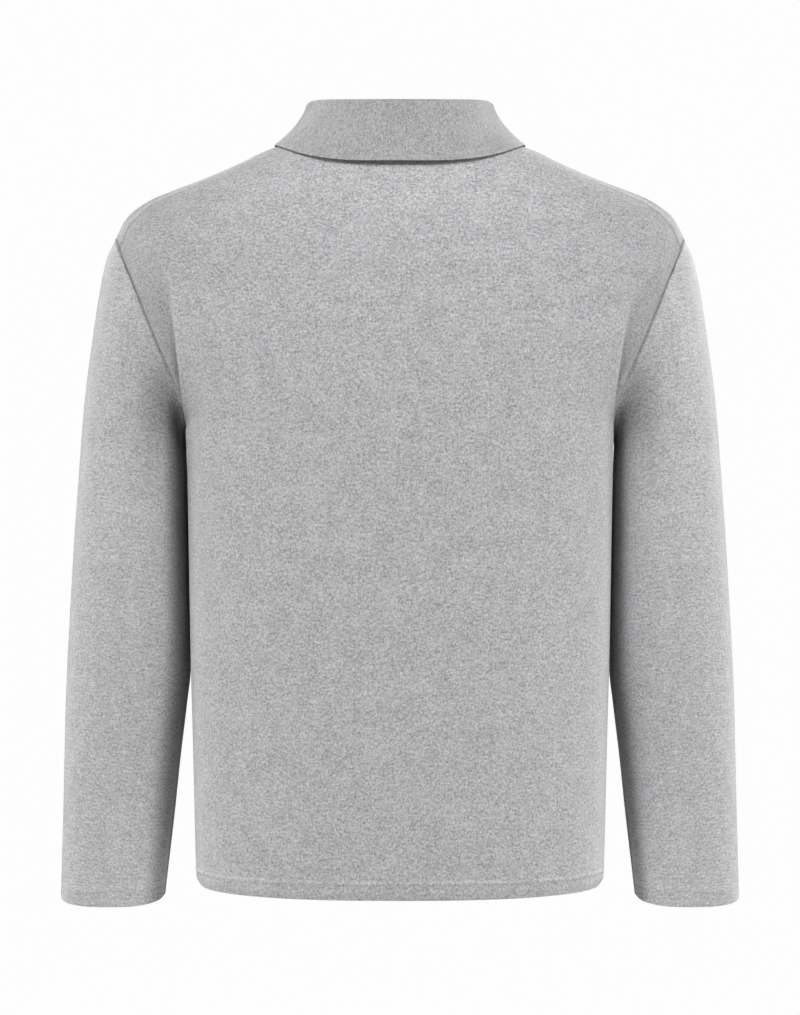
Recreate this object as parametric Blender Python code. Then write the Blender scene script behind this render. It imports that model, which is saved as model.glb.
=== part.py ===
"""Stand collar cardigan: a knitted, buttoned cardigan with a turned-down stand collar.

The garment hangs as it is worn, hollow, with its neck, hem and cuffs open. The back
faces -Y, the buttoned front faces +Y, the wearer's left is -X and +Z is up. The origin
is the middle of the neck, level with the points where the shoulders reach the collar.

Every panel is a cloth wall. Its outer face is worked out from the tables below, on rows
and columns that neighbouring panels share along their seams, and its inner face is the
outer one moved in by the thickness of the knit.
"""
import math
from functools import lru_cache
from typing import NamedTuple

import bmesh
import bpy
import numpy as np

MM = 0.001                      # the tables below are in millimetres

# ---------------------------------------------------------------- driving sizes (mm)
KNIT_THICKNESS = 2.0            # of the single knitted layer
SEAM_SHARE = 0.17               # each panel stops this far short of its seam line
MITRE_LIMIT = 0.45              # least cosine used where the wall turns at a crease

UNDERARM_HEIGHT = -256.0        # the armhole's lowest point
SHOULDER_TIP_HEIGHT = -82.0     # the armhole's highest point
SHOULDER_TIP_OUT = 249.5        # half of the width across the dropped shoulders
NECK_ROUNDING = 2.1             # how square the body is where it rolls over to the neck
SHOULDER_ROUNDING = 2.5         # and at the shoulder's tip
COLUMN_SQUARENESS = 2.35        # spreads the columns evenly round the sides
SHOULDER_SEAM_SETBACK = 20.0    # the shoulder seam lies behind the ridge at the tip
BACK_ARMHOLE_END = 0.968        # share of the armhole's height where the back panel ends

NECK_HALF_WIDTH = 93.0
NECK_BACK_DEPTH = 68.0
NECK_FRONT_DEPTH = 80.0
NECK_SIDE_HEIGHT = 2.0
NECK_BACK_HEIGHT = -9.0
NECK_FRONT_HEIGHT = -76.0
NECK_BACK_LEVEL = 2.6           # how long the back neckline stays level
NECK_FRONT_LEVEL = 1.5

ROLL_RADIUS = 5.0               # of the collar's fold, on its outer face
COLLAR_FRONT_GAP = 1.5          # half of the gap between the collar's two front ends
COLLAR_SEAM_GAP = 1.0           # between the neckline and the collar's base

BAND_LEFT_EDGE = 15.0           # where the over band is sewn to the left front
BAND_RIGHT_EDGE = 18.0          # where the under band is sewn to the right front
BAND_OVERHANG = 14.0            # the over band's free edge, past the centre
BAND_UNDERHANG = 11.0           # the under band's free edge, past the centre
BAND_LIFT = 1.3                 # the over band stands this far proud of the fronts
BAND_SINK = 1.3                 # the under band lies this far below them
BAND_TOP_CLEARANCE = 1.2        # the bands stop this far below the neck seam
BAND_RAMP = 4.0                 # over this width a band rises or sinks beside its seam
BAND_NEAR_SHARE = 0.35          # inner columns, as shares of the sewn and the free edge
BAND_FAR_SHARE = 0.30
BAND_MIDDLE_COLUMN = 3          # the band column that the buttons are placed by

BUTTON_DIAMETER = 17.0
BUTTON_THICKNESS = 3.2
BUTTON_HOLE_DIAMETER = 1.8
BUTTON_HOLE_SPACING = 3.4
BUTTON_CLEARANCE = 0.6          # between a button's underside and the band
BUTTON_TOP_HEIGHT = -104.0
BUTTON_LOW_HEIGHT = -618.0
BUTTON_COUNT = 7
BUTTON_OUT = -0.5               # the buttons' distance from the centre front

# ---------------------------------------------------------------- grid density
NECK_COLUMNS = 6                # from the centre back to the neck point
SHOULDER_COLUMNS = 8            # from the neck point to the shoulder tip
FRONT_NECK_COLUMNS = 6          # from the neck point to a band's edge
BAND_NECK_STATIONS = 2          # from a band's edge to the collar's front end
SLEEVE_RINGS = 16
SLEEVE_CROWDING = 1.15          # above 1, the rings lie closer together near the armhole
STAND_ROWS = 3
ROLL_ROWS = 5
FALL_ROWS = 5
BUTTON_SIDES = 16
HOLE_SIDES = 8
HALVINGS = 32                   # steps of each search by halving
POINTS_PER_MM = 1000.0          # points nearer than this are the same point


class BodyLevel(NamedTuple):
    """One level of the body below the armholes, in millimetres."""
    name: str
    height: float
    half_width: float
    back_depth: float
    front_depth: float
    squareness: float


BODY_LEVELS = (
    BodyLevel("hem edge", -652.3, 174.8, 118.0, 119.0, 2.35),
    BodyLevel("hem fold", -645.0, 178.6, 120.0, 121.0, 2.35),
    BodyLevel("hem seam", -637.0, 179.0, 120.0, 121.0, 2.35),
    BodyLevel("low hip", -590.0, 180.3, 119.0, 121.5, 2.35),
    BodyLevel("hip", -530.0, 181.7, 117.5, 122.0, 2.36),
    BodyLevel("waist", -450.0, 183.8, 115.5, 121.5, 2.40),
    BodyLevel("ribs", -370.0, 185.2, 115.5, 122.5, 2.46),
    BodyLevel("chest", -310.0, 186.2, 117.0, 124.0, 2.52),
    BodyLevel("underarm", UNDERARM_HEIGHT, 187.5, 118.5, 125.0, 2.60),
)
BODY_ROW_HEIGHTS = (
    -652.3, -645.0, -637.0, -600.0, -560.0, -515.0, -470.0, -425.0, -380.0, -335.0,
    -300.0, -274.0, UNDERARM_HEIGHT,
)


class ArmholeLevel(NamedTuple):
    """One level of the armhole seam; rise is its share of the armhole's height."""
    name: str
    rise: float
    out: float
    back_depth: float
    front_depth: float
    squareness: float


ARMHOLE_LEVELS = (
    ArmholeLevel("underarm", 0.00, 187.5, 0.0, 0.0, 2.60),
    ArmholeLevel("underarm bend", 0.05, 186.3, 26.0, 28.0, 2.66),
    ArmholeLevel("low", 0.13, 188.6, 41.0, 45.0, 2.74),
    ArmholeLevel("lower third", 0.25, 195.6, 54.0, 58.0, 2.80),
    ArmholeLevel("middle", 0.45, 210.0, 65.0, 66.0, 2.70),
    ArmholeLevel("upper third", 0.65, 224.2, 66.0, 63.0, 2.55),
    ArmholeLevel("blade", 0.76, 232.0, 60.0, 56.0, 2.45),
    ArmholeLevel("high", 0.86, 240.0, 49.0, 45.0, 2.38),
    ArmholeLevel("cap", 0.95, 246.2, 29.0, 26.0, 2.32),
    ArmholeLevel("tip", 1.00, SHOULDER_TIP_OUT, 0.0, 0.0, 2.30),
)
BACK_ARMHOLE_RISES = (0.0, 0.05, 0.12, 0.21, 0.31, 0.42, 0.53, 0.64, 0.74, 0.83, 0.91,
                      BACK_ARMHOLE_END)
FRONT_ARMHOLE_RISES = (0.0, 0.05, 0.12, 0.21, 0.31, 0.42, 0.53, 0.64, 0.74, 0.83, 0.91,
                       0.965, 1.0)


class RidgePoint(NamedTuple):
    """The shoulder's ridge line, seen from behind."""
    name: str
    out: float
    height: float


RIDGE_SMOOTHING = 0.05          # the ridge is averaged over this share about the neck point
RIDGE_SMOOTHING_REACH = 0.16
SMOOTHING_WEIGHTS = ((-1.0, 0.12), (-0.5, 0.23), (0.0, 0.30), (0.5, 0.23), (1.0, 0.12))
RIDGE = (
    RidgePoint("neck point", NECK_HALF_WIDTH, NECK_SIDE_HEIGHT),
    RidgePoint("under the collar", 101.0, -2.4),
    RidgePoint("collar edge", 110.0, -6.6),
    RidgePoint("past the collar", 116.0, -8.4),
    RidgePoint("near quarter", 122.0, -11.0),
    RidgePoint("near third", 134.2, -17.4),
    RidgePoint("near half", 155.0, -27.0),
    RidgePoint("middle", 173.8, -34.9),
    RidgePoint("far third", 200.0, -44.8),
    RidgePoint("drop", 217.8, -51.8),
    RidgePoint("turn", 231.4, -60.0),
    RidgePoint("edge", 241.6, -69.0),
    RidgePoint("tip", SHOULDER_TIP_OUT, SHOULDER_TIP_HEIGHT),
)


class SleeveLevel(NamedTuple):
    """One ring of a sleeve: its outer and inner ends and its depth, in millimetres."""
    name: str
    outer_out: float
    outer_height: float
    inner_out: float
    inner_height: float
    half_depth: float
    centre_forward: float
    lean_degrees: float


SLEEVE_LEVELS = (
    SleeveLevel("armhole", SHOULDER_TIP_OUT, SHOULDER_TIP_HEIGHT, 187.5, UNDERARM_HEIGHT,
                66.0, 0.0, 0.0),
    SleeveLevel("cap", 258.6, -105.0, 190.6, -262.0, 66.5, 2.0, 0.0),
    SleeveLevel("crown", 265.9, -140.0, 190.6, -273.0, 67.0, 4.0, 0.5),
    SleeveLevel("upper arm", 271.4, -177.0, 189.4, -289.0, 67.0, 7.0, 1.0),
    SleeveLevel("biceps", 277.9, -228.0, 188.3, -314.0, 66.0, 11.0, 2.0),
    SleeveLevel("lower biceps", 282.8, -288.0, 187.5, -347.0, 64.0, 15.0, 3.2),
    SleeveLevel("above elbow", 287.8, -351.0, 187.0, -386.0, 61.0, 18.5, 4.5),
    SleeveLevel("elbow", 291.4, -405.0, 186.8, -425.0, 58.0, 22.0, 5.8),
    SleeveLevel("forearm", 295.0, -458.0, 187.9, -466.0, 54.5, 27.0, 7.0),
    SleeveLevel("mid forearm", 297.0, -494.0, 191.6, -497.0, 52.0, 31.5, 7.8),
    SleeveLevel("low forearm", 299.2, -548.0, 198.2, -549.0, 47.5, 38.5, 8.6),
    SleeveLevel("wrist", 301.0, -592.0, 203.0, -592.0, 43.8, 45.0, 9.1),
    SleeveLevel("cuff seam", 303.0, -640.0, 208.6, -640.0, 40.2, 50.5, 9.3),
    SleeveLevel("cuff edge", 304.2, -670.0, 211.8, -670.0, 38.0, 53.5, 9.3),
)
SLEEVE_SQUARENESS = 2.15
SLEEVE_BLEND_LENGTH = 150.0     # over which the armhole's own shape fades into the rings


class CollarGuide(NamedTuple):
    """One line round the collar: its half width, depths and heights, in millimetres."""
    name: str
    half_width: float
    back_depth: float
    front_depth: float
    side_height: float
    back_height: float
    front_height: float
    back_level: float
    front_level: float
    front_angle: float


# In front the free edge takes its height from the fronts' own surface.
COLLAR_ROLL = CollarGuide("roll line", 78.0, 61.0, 78.0, 36.6, 27.6, -42.0, 2.4, 1.5, 178.5)
COLLAR_EDGE = CollarGuide("free edge", 110.4, 88.0, 106.0, -3.0, -26.4, -120.0, 3.2, 1.2, 160.0)
EDGE_FRONT_FULLNESS = 0.85      # below 1, the free edge runs wider round the front
EDGE_CLEARANCE = 3.8            # from the fronts up to the outer face of the free edge
ROLL_END_ANGLE = 3.0            # degrees before level where the roll passes into the fall
STAND_LEAN = 0.45               # how strongly the stand leaves along the neckline
FALL_START_PULL = 30.0          # strengths of the fall's tangents, in millimetres
FALL_END_PULL = 40.0
FALL_START_OUT = 0.30           # the fall leaves the roll going down and slightly out
FALL_START_OUT_FRONT = 0.75     # and further out in front, to pass over the chest
FALL_END_OUT_SIDE = 0.85        # and reaches its edge lying over the shoulder
FALL_END_OUT_FRONT = 0.35       # but hangs more steeply in front
FALL_END_FADE = 0.6             # how soon it turns to that towards the front
FRONT_SEAM_TILT = 50.0          # degrees; the neck seam's facing where the collar overhangs
BELOW_SEAM_CLIMB = 0.97         # a place just under the neck seam


class ButtonRing(NamedTuple):
    """One ring of a button's turned outline, in millimetres from its middle."""
    name: str
    radius: float
    height: float


BUTTON_RINGS = (
    ButtonRing("underside edge", 6.1, -0.5 * BUTTON_THICKNESS),
    ButtonRing("lower side", 7.8, -1.2),
    ButtonRing("side", 0.5 * BUTTON_DIAMETER, -0.15),
    ButtonRing("upper side", 8.3, 1.0),
    ButtonRing("rim", 7.65, 0.5 * BUTTON_THICKNESS),
    ButtonRing("inside of the rim", 6.5, 1.35),
    ButtonRing("edge of the dish", 5.8, 0.8),
)


class ClothColour(NamedTuple):
    """A material's base colour, roughness and metallic value."""
    name: str
    colour: tuple
    roughness: float
    metallic: float


HEATHER_GREY = ClothColour("heather grey knit", (0.44, 0.44, 0.45, 1.0), 0.95, 0.0)
COLLAR_GREY = ClothColour("collar grey knit", (0.42, 0.42, 0.43, 1.0), 0.95, 0.0)
BAND_GREY = ClothColour("band grey knit", (0.43, 0.43, 0.44, 1.0), 0.95, 0.0)
BUTTON_GREY = ClothColour("grey button", (0.25, 0.25, 0.26, 1.0), 0.35, 0.0)

HALF_TURN = math.pi / 2.0
BACK = -1.0                     # the sides of the body, as signs along Y
FRONT = 1.0


# ---------------------------------------------------------------- tables as curves
def curve_through(stations, values, at):
    """Read a smooth curve through a table's column, with no overshoot between rows."""
    stations = np.asarray(stations, dtype=float)
    values = np.asarray(values, dtype=float)
    steps = np.diff(stations)
    slopes = np.diff(values) / steps
    tangents = np.empty_like(values)
    tangents[0] = slopes[0]
    tangents[-1] = slopes[-1]
    for row in range(1, len(values) - 1):
        before = slopes[row - 1]
        after = slopes[row]
        if before * after <= 0.0:
            tangents[row] = 0.0
        else:
            near = 2.0 * steps[row] + steps[row - 1]
            far = steps[row] + 2.0 * steps[row - 1]
            tangents[row] = (near + far) / (near / before + far / after)
    at = np.clip(at, stations[0], stations[-1])
    cell = np.clip(np.searchsorted(stations, at, side="right") - 1, 0, len(steps) - 1)
    step = steps[cell]
    share = (at - stations[cell]) / step
    rest = 1.0 - share
    return (values[cell] * (1.0 + 2.0 * share) * rest ** 2
            + tangents[cell] * step * share * rest ** 2
            + values[cell + 1] * (3.0 - 2.0 * share) * share ** 2
            - tangents[cell + 1] * step * share ** 2 * rest)


def column(table, name):
    """One named column of a table."""
    return [getattr(row, name) for row in table]


def read_table(table, key, name, at):
    """The value of a table's column where its key column has the value `at`."""
    return float(curve_through(column(table, key), column(table, name), at))


def smooth_step(share):
    """0 to 1 with level ends."""
    share = min(max(share, 0.0), 1.0)
    return share * share * (3.0 - 2.0 * share)


# ---------------------------------------------------------------- the body's surface
def bowed(share, squareness):
    """How deep a rounded section is at a share of its half width."""
    return max(0.0, 1.0 - abs(share) ** squareness) ** (1.0 / squareness)


def low_body_point(share, height, side):
    """A point of the body below the armholes."""
    half_width = read_table(BODY_LEVELS, "height", "half_width", height)
    depth_name = "back_depth" if side == BACK else "front_depth"
    depth = read_table(BODY_LEVELS, "height", depth_name, height)
    squareness = read_table(BODY_LEVELS, "height", "squareness", height)
    return np.array([share * half_width, side * depth * bowed(share, squareness), height])


def underarm_depth(side):
    """The body's half depth at the underarm."""
    level = BODY_LEVELS[-1]
    return level.back_depth if side == BACK else level.front_depth


def rounding_at(share):
    """How square the roll over the shoulder is at a share of the half width."""
    along = (abs(share) - neck_share()) / (1.0 - neck_share())
    return NECK_ROUNDING + (SHOULDER_ROUNDING - NECK_ROUNDING) * smooth_step(along)


def rise_and_depth(angle, share):
    """Shares of the height and of the depth at an angle up the rounded shoulder."""
    rounding = rounding_at(share)
    rise = math.sin(angle) ** (2.0 / rounding)
    depth = max(0.0, math.cos(angle)) ** (2.0 / rounding)
    return rise, depth


def high_body_point(share, angle, side, ridge_height):
    """A point of the body above the underarm, at an angle up to the shoulder's ridge."""
    rise, depth_share = rise_and_depth(angle, share)
    out = read_table(ARMHOLE_LEVELS, "rise", "out", rise)
    seam_name = "back_depth" if side == BACK else "front_depth"
    seam_depth = read_table(ARMHOLE_LEVELS, "rise", seam_name, rise)
    squareness = read_table(ARMHOLE_LEVELS, "rise", "squareness", rise)
    centre_depth = underarm_depth(side) * depth_share
    edge = 0.0 if centre_depth < 1e-6 else min(seam_depth / centre_depth, 0.999)
    virtual_out = out / (1.0 - edge ** squareness) ** (1.0 / squareness)
    depth = centre_depth * bowed(share * out / virtual_out, squareness)
    height = UNDERARM_HEIGHT + (ridge_height - UNDERARM_HEIGHT) * rise
    return np.array([share * out, side * depth, height])


def neck_share():
    """The share of the half width where the shoulder meets the neck."""
    return NECK_HALF_WIDTH / SHOULDER_TIP_OUT


def neck_depth(share, side):
    """How deep the neckline lies at a share of the half width."""
    across = min(abs(share) / neck_share(), 1.0)
    deepest = NECK_BACK_DEPTH if side == BACK else NECK_FRONT_DEPTH
    return deepest * math.sqrt(max(0.0, 1.0 - across * across))


def neck_height(share, side):
    """How high the neckline lies at a share of the half width."""
    across = min(abs(share) / neck_share(), 1.0)
    if side == BACK:
        return NECK_BACK_HEIGHT + (NECK_SIDE_HEIGHT - NECK_BACK_HEIGHT) * across ** NECK_BACK_LEVEL
    forward = math.sqrt(max(0.0, 1.0 - across * across))
    return NECK_SIDE_HEIGHT + (NECK_FRONT_HEIGHT - NECK_SIDE_HEIGHT) * forward ** NECK_FRONT_LEVEL


def seam_setback(share):
    """How far behind the ridge the shoulder seam lies."""
    along = (abs(share) - neck_share()) / (1.0 - neck_share())
    return SHOULDER_SEAM_SETBACK * smooth_step(along)


@lru_cache(maxsize=None)
def closing_angle(share, side):
    """The angle at which a column ends, at the neckline or at the shoulder seam."""
    in_neck = abs(share) < neck_share() - 1e-9
    target = neck_depth(share, side) if in_neck else seam_setback(share)
    if target < 1e-6:
        return HALF_TURN
    if abs(share) > 1.0 - 1e-9 and side == BACK:
        rise = BACK_ARMHOLE_END
        return math.asin(rise ** (SHOULDER_ROUNDING / 2.0))
    low = 0.05
    high = HALF_TURN
    for _ in range(HALVINGS):
        middle = 0.5 * (low + high)
        if abs(high_body_point(share, middle, side, 0.0)[1]) > target:
            low = middle
        else:
            high = middle
    return 0.5 * (low + high)


def exact_ridge(share, side):
    """The height that a column aims for to end exactly on the ridge or the neckline."""
    if share >= neck_share() - 1e-9:
        return read_table(RIDGE, "out", "height", share * SHOULDER_TIP_OUT)
    rise, _ = rise_and_depth(closing_angle(share, side), share)
    return UNDERARM_HEIGHT + (neck_height(share, side) - UNDERARM_HEIGHT) / rise


@lru_cache(maxsize=None)
def column_ridge(share, side):
    """The height that a column aims for, averaged about the neck point."""
    share = abs(share)
    near = max(0.0, 1.0 - abs(share - neck_share()) / RIDGE_SMOOTHING_REACH)
    if near == 0.0:
        return exact_ridge(share, side)
    reach = RIDGE_SMOOTHING * smooth_step(near)
    return sum(weight * exact_ridge(share + offset * reach, side)
               for offset, weight in SMOOTHING_WEIGHTS)


def back_point(share, climb):
    """A point of the upper back; climb runs from 0 at the underarm to 1 at the seam."""
    angle = climb * closing_angle(share, BACK)
    return high_body_point(share, angle, BACK, column_ridge(share, BACK))


def front_point(share, climb):
    """A point of the upper front, which carries on over the ridge to the shoulder seam."""
    if abs(share) < neck_share() - 1e-9:
        angle = climb * closing_angle(share, FRONT)
        return high_body_point(share, angle, FRONT, column_ridge(share, FRONT))
    angle = climb * (math.pi - closing_angle(share, BACK))
    if angle <= HALF_TURN:
        return high_body_point(share, angle, FRONT, column_ridge(share, FRONT))
    return high_body_point(share, math.pi - angle, BACK, column_ridge(share, BACK))


# ---------------------------------------------------------------- rows and columns
def neck_column_shares(count):
    """Columns from the centre to the neck point, at even angles round the neck."""
    return [neck_share() * math.sin(HALF_TURN * step / count) for step in range(count + 1)]


def shoulder_column_shares():
    """Columns from the neck point to the side, close together where the body turns."""
    collar_share = COLLAR_EDGE.half_width / SHOULDER_TIP_OUT
    start = math.asin(collar_share ** (COLUMN_SQUARENESS / 2.0))
    shares = [0.5 * (neck_share() + collar_share)]
    for step in range(SHOULDER_COLUMNS):
        turn = start + (HALF_TURN - start) * step / (SHOULDER_COLUMNS - 1)
        shares.append(math.sin(turn) ** (2.0 / COLUMN_SQUARENESS))
    return shares


def back_column_shares():
    """All the back's columns, from the wearer's left side to the right."""
    half = neck_column_shares(NECK_COLUMNS) + shoulder_column_shares()
    return [-share for share in reversed(half[1:])] + half


def front_column_shares(band_edge):
    """A front's columns at its top row, from its band to its side."""
    first = band_edge / NECK_HALF_WIDTH
    start = math.pi - math.asin(first)
    shares = []
    for step in range(FRONT_NECK_COLUMNS + 1):
        angle = start + (HALF_TURN - start) * step / FRONT_NECK_COLUMNS
        shares.append(neck_share() * math.sin(angle))
    return shares + shoulder_column_shares()


def back_climbs():
    """The upper back's rows, as shares of the way to the shoulder seam."""
    last = closing_angle(1.0, BACK)
    return [math.asin(rise ** (SHOULDER_ROUNDING / 2.0)) / last for rise in BACK_ARMHOLE_RISES]


def front_climbs():
    """The upper front's rows, as shares of the way over the ridge to the seam."""
    last = math.pi - closing_angle(1.0, BACK)
    climbs = [math.asin(rise ** (SHOULDER_ROUNDING / 2.0)) / last for rise in FRONT_ARMHOLE_RISES]
    return climbs + [1.0]


def shifted_share(share, first_share, row_first_share):
    """Slide a column so that the front's first column keeps its distance from the centre."""
    return share + (row_first_share - first_share) * (1.0 - share) / (1.0 - first_share)


def back_grid():
    """The back's outer face: rows from the hem up, columns from left to right."""
    shares = back_column_shares()
    rows = [[low_body_point(share, height, BACK) for share in shares]
            for height in BODY_ROW_HEIGHTS]
    for climb in back_climbs()[1:]:
        rows.append([back_point(share, climb) for share in shares])
    return np.array(rows)


def front_strip_rows(shares, band_edge, sign):
    """Rows of the front for given top-row columns, on one side of the centre."""
    first = band_edge / SHOULDER_TIP_OUT
    rows = []
    for height in BODY_ROW_HEIGHTS:
        half_width = read_table(BODY_LEVELS, "height", "half_width", height)
        row_first = band_edge / half_width
        rows.append([low_body_point(sign * shifted_share(share, first, row_first), height, FRONT)
                     for share in shares])
    rises = list(FRONT_ARMHOLE_RISES) + [1.0]
    for climb, rise in list(zip(front_climbs(), rises))[1:]:
        row_first = band_edge / read_table(ARMHOLE_LEVELS, "rise", "out", rise)
        row_shares = [sign * shifted_share(share, first, row_first) for share in shares]
        rows.append([front_point(share, climb) for share in row_shares])
    return rows


def front_grid(band_edge, sign):
    """A front's outer face: rows from the hem up, columns from the band to the side."""
    return np.array(front_strip_rows(front_column_shares(band_edge), band_edge, sign))


# ---------------------------------------------------------------- the sleeves
def armhole_loop(back, front):
    """The armhole seam on the wearer's right, from the underarm up the back and over."""
    first = len(BODY_ROW_HEIGHTS) - 1
    back_edge = [back[row, -1] for row in range(first, back.shape[0])]
    front_edge = [front[row, -1] for row in range(front.shape[0] - 2, first, -1)]
    return np.array(back_edge + front_edge)


def sleeve_ring(along, shares, signs):
    """One ring at a length along the sleeve, at shares of its width from -1 to 1."""
    lengths = sleeve_lengths()

    def value(name):
        return float(curve_through(lengths, column(SLEEVE_LEVELS, name), along))

    outer = np.array([value("outer_out"), 0.0, value("outer_height")])
    inner = np.array([value("inner_out"), 0.0, value("inner_height")])
    centre = 0.5 * (outer + inner)
    arm = 0.5 * (outer - inner)
    lean = math.tan(math.radians(value("lean_degrees")))
    ring = []
    for share, sign in zip(shares, signs):
        forward = sign * value("half_depth") * bowed(share, SLEEVE_SQUARENESS)
        point = centre + arm * share
        point[1] = value("centre_forward") + forward
        point[2] += forward * lean
        ring.append(point)
    return np.array(ring)


def sleeve_lengths():
    """The length along the sleeve's middle line at each row of its table."""
    middles = [np.array([0.5 * (row.outer_out + row.inner_out), row.centre_forward,
                         0.5 * (row.outer_height + row.inner_height)]) for row in SLEEVE_LEVELS]
    lengths = [0.0]
    for before, after in zip(middles, middles[1:]):
        lengths.append(lengths[-1] + float(np.linalg.norm(after - before)))
    return lengths


def sleeve_grid(loop):
    """The right sleeve's outer face: rings from the armhole down, columns round it."""
    top = np.array([SHOULDER_TIP_OUT, 0.0, SHOULDER_TIP_HEIGHT])
    low = np.array([SLEEVE_LEVELS[0].inner_out, 0.0, UNDERARM_HEIGHT])
    centre = 0.5 * (top + low)
    arm = 0.5 * (top - low)
    seam_shares = np.clip((loop - centre) @ arm / (arm @ arm), -1.0, 1.0)
    signs = np.where(loop[:, 1] < 0.0, BACK, FRONT)
    seam_angles = np.arccos(seam_shares)
    seam_angles = np.where(signs == BACK, seam_angles, 2.0 * math.pi - seam_angles)
    seam_angles[0] = math.pi
    even_angles = np.empty_like(seam_angles)
    top_index = int(np.argmax(loop[:, 2]))
    even_angles[: top_index + 1] = np.linspace(math.pi, 0.0, top_index + 1)
    count = len(loop) - top_index
    even_angles[top_index:] = np.linspace(2.0 * math.pi, math.pi, count, endpoint=False)
    even_angles[top_index] = 0.0
    seam_angles[top_index] = 0.0
    start = sleeve_ring(0.0, np.cos(seam_angles), signs)
    own_shape = loop - start
    total = sleeve_lengths()[-1]
    rings = []
    for step in range(SLEEVE_RINGS + 1):
        along = total * (step / SLEEVE_RINGS) ** SLEEVE_CROWDING
        fade = smooth_step(along / SLEEVE_BLEND_LENGTH)
        angles = seam_angles * (1.0 - fade) + even_angles * fade
        angles[top_index] = 0.0
        ring = sleeve_ring(along, np.cos(angles), signs)
        rings.append(ring + own_shape * (1.0 - fade))
    return np.array(rings)


# ---------------------------------------------------------------- closed cloth walls
def point_key(point):
    """A point rounded so that the same point on two panels is found again."""
    return tuple(int(round(value * POINTS_PER_MM)) for value in point)


def add_face_normals(grid, closed, flip, group, totals):
    """Add the normals of a grid's faces to the points that they touch, under a group."""
    rows, columns = grid.shape[:2]
    last = columns if closed else columns - 1
    for row in range(rows - 1):
        for step in range(last):
            after = (step + 1) % columns
            corners = [grid[row, step], grid[row, after], grid[row + 1, after], grid[row + 1, step]]
            normal = np.cross(corners[2] - corners[0], corners[3] - corners[1])
            length = np.linalg.norm(normal)
            if length < 1e-12:
                continue
            normal = normal / length * (-1.0 if flip else 1.0)
            for corner in corners:
                groups = totals.setdefault(point_key(corner), {})
                groups.setdefault(group, []).append(normal)


def grid_normals(grid, totals):
    """Normals at a grid's points, and how far the wall must reach along each of them."""
    normals = np.empty_like(grid)
    reach = np.empty(grid.shape[:2])
    for row in range(grid.shape[0]):
        for step in range(grid.shape[1]):
            groups = totals[point_key(grid[row, step])]
            faces = np.array([np.mean(group, axis=0) for group in groups.values()])
            mean = faces.mean(axis=0)
            mean = mean / max(np.linalg.norm(mean), 1e-9)
            normals[row, step] = mean
            reach[row, step] = 1.0 / max(MITRE_LIMIT, float((faces @ mean).mean()))
    return normals, reach


def pull_back(line, neighbour, normals, closed):
    """Move one border of a grid square to its end face, to leave the seam's gap."""
    if closed:
        tangents = np.roll(line, -1, axis=0) - np.roll(line, 1, axis=0)
    else:
        tangents = np.gradient(line, axis=0)
    ways = np.cross(tangents, normals)
    ways = ways / np.maximum(np.linalg.norm(ways, axis=-1, keepdims=True), 1e-9)
    inward = np.sign(np.sum(ways * (neighbour - line), axis=-1, keepdims=True))
    return line + ways * inward * SEAM_SHARE


def with_seam_gaps(grid, normals, borders, closed):
    """A copy of a grid with the gap left along each of the named borders."""
    moved = grid.copy()
    if "first_row" in borders:
        moved[0] = pull_back(moved[0], moved[1], normals[0], closed)
    if "last_row" in borders:
        moved[-1] = pull_back(moved[-1], moved[-2], normals[-1], closed)
    if "first_column" in borders:
        moved[:, 0] = pull_back(moved[:, 0], moved[:, 1], normals[:, 0], False)
    if "last_column" in borders:
        moved[:, -1] = pull_back(moved[:, -1], moved[:, -2], normals[:, -1], False)
    return moved


def wall_from_grids(outer, inner, closed):
    """Join an outer and an inner face into one closed wall."""
    rows, columns = outer.shape[:2]
    verts = [tuple(point * MM) for point in outer.reshape(-1, 3)]
    verts += [tuple(point * MM) for point in inner.reshape(-1, 3)]
    inside = rows * columns
    last = columns if closed else columns - 1
    faces = []
    for row in range(rows - 1):
        for step in range(last):
            after = (step + 1) % columns
            ring = [row * columns + step, row * columns + after,
                    (row + 1) * columns + after, (row + 1) * columns + step]
            faces.append(ring)
            faces.append([inside + index for index in reversed(ring)])
    for row, turned in ((0, True), (rows - 1, False)):
        for step in range(last):
            after = (step + 1) % columns
            near = row * columns + step
            far = row * columns + after
            strip = [near, far, inside + far, inside + near]
            faces.append(strip if not turned else strip[::-1])
    if not closed:
        for step, turned in ((0, False), (columns - 1, True)):
            for row in range(rows - 1):
                near = row * columns + step
                far = (row + 1) * columns + step
                strip = [near, far, inside + far, inside + near]
                faces.append(strip if not turned else strip[::-1])
    return verts, faces


def cloth_material(finish):
    """A plain material with the finish's colour."""
    material = bpy.data.materials.new(finish.name)
    material.use_nodes = True
    shader = material.node_tree.nodes["Principled BSDF"]
    shader.inputs["Base Color"].default_value = finish.colour
    shader.inputs["Roughness"].default_value = finish.roughness
    shader.inputs["Metallic"].default_value = finish.metallic
    return material


def add_solid(name, verts, faces, finish):
    """Add a closed solid to the scene under its own name and material."""
    mesh = bpy.data.meshes.new(name)
    mesh.from_pydata(verts, [], faces)
    shape = bmesh.new()
    shape.from_mesh(mesh)
    bmesh.ops.recalc_face_normals(shape, faces=shape.faces)
    shape.to_mesh(mesh)
    shape.free()
    mesh.shade_smooth()
    solid = bpy.data.objects.new(name, mesh)
    solid.data.materials.append(cloth_material(finish._replace(name=name + " finish")))
    bpy.context.scene.collection.objects.link(solid)
    return solid


def add_wall(name, grid, totals, borders, closed, finish):
    """Add a cloth wall on a grid, stopping short of its neighbours at the named borders."""
    normals, reach = grid_normals(grid, totals)
    outer = with_seam_gaps(grid, normals, borders, closed)
    inner = outer - normals * (KNIT_THICKNESS * reach)[..., None]
    verts, faces = wall_from_grids(outer, inner, closed)
    return add_solid(name, verts, faces, finish)


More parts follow.
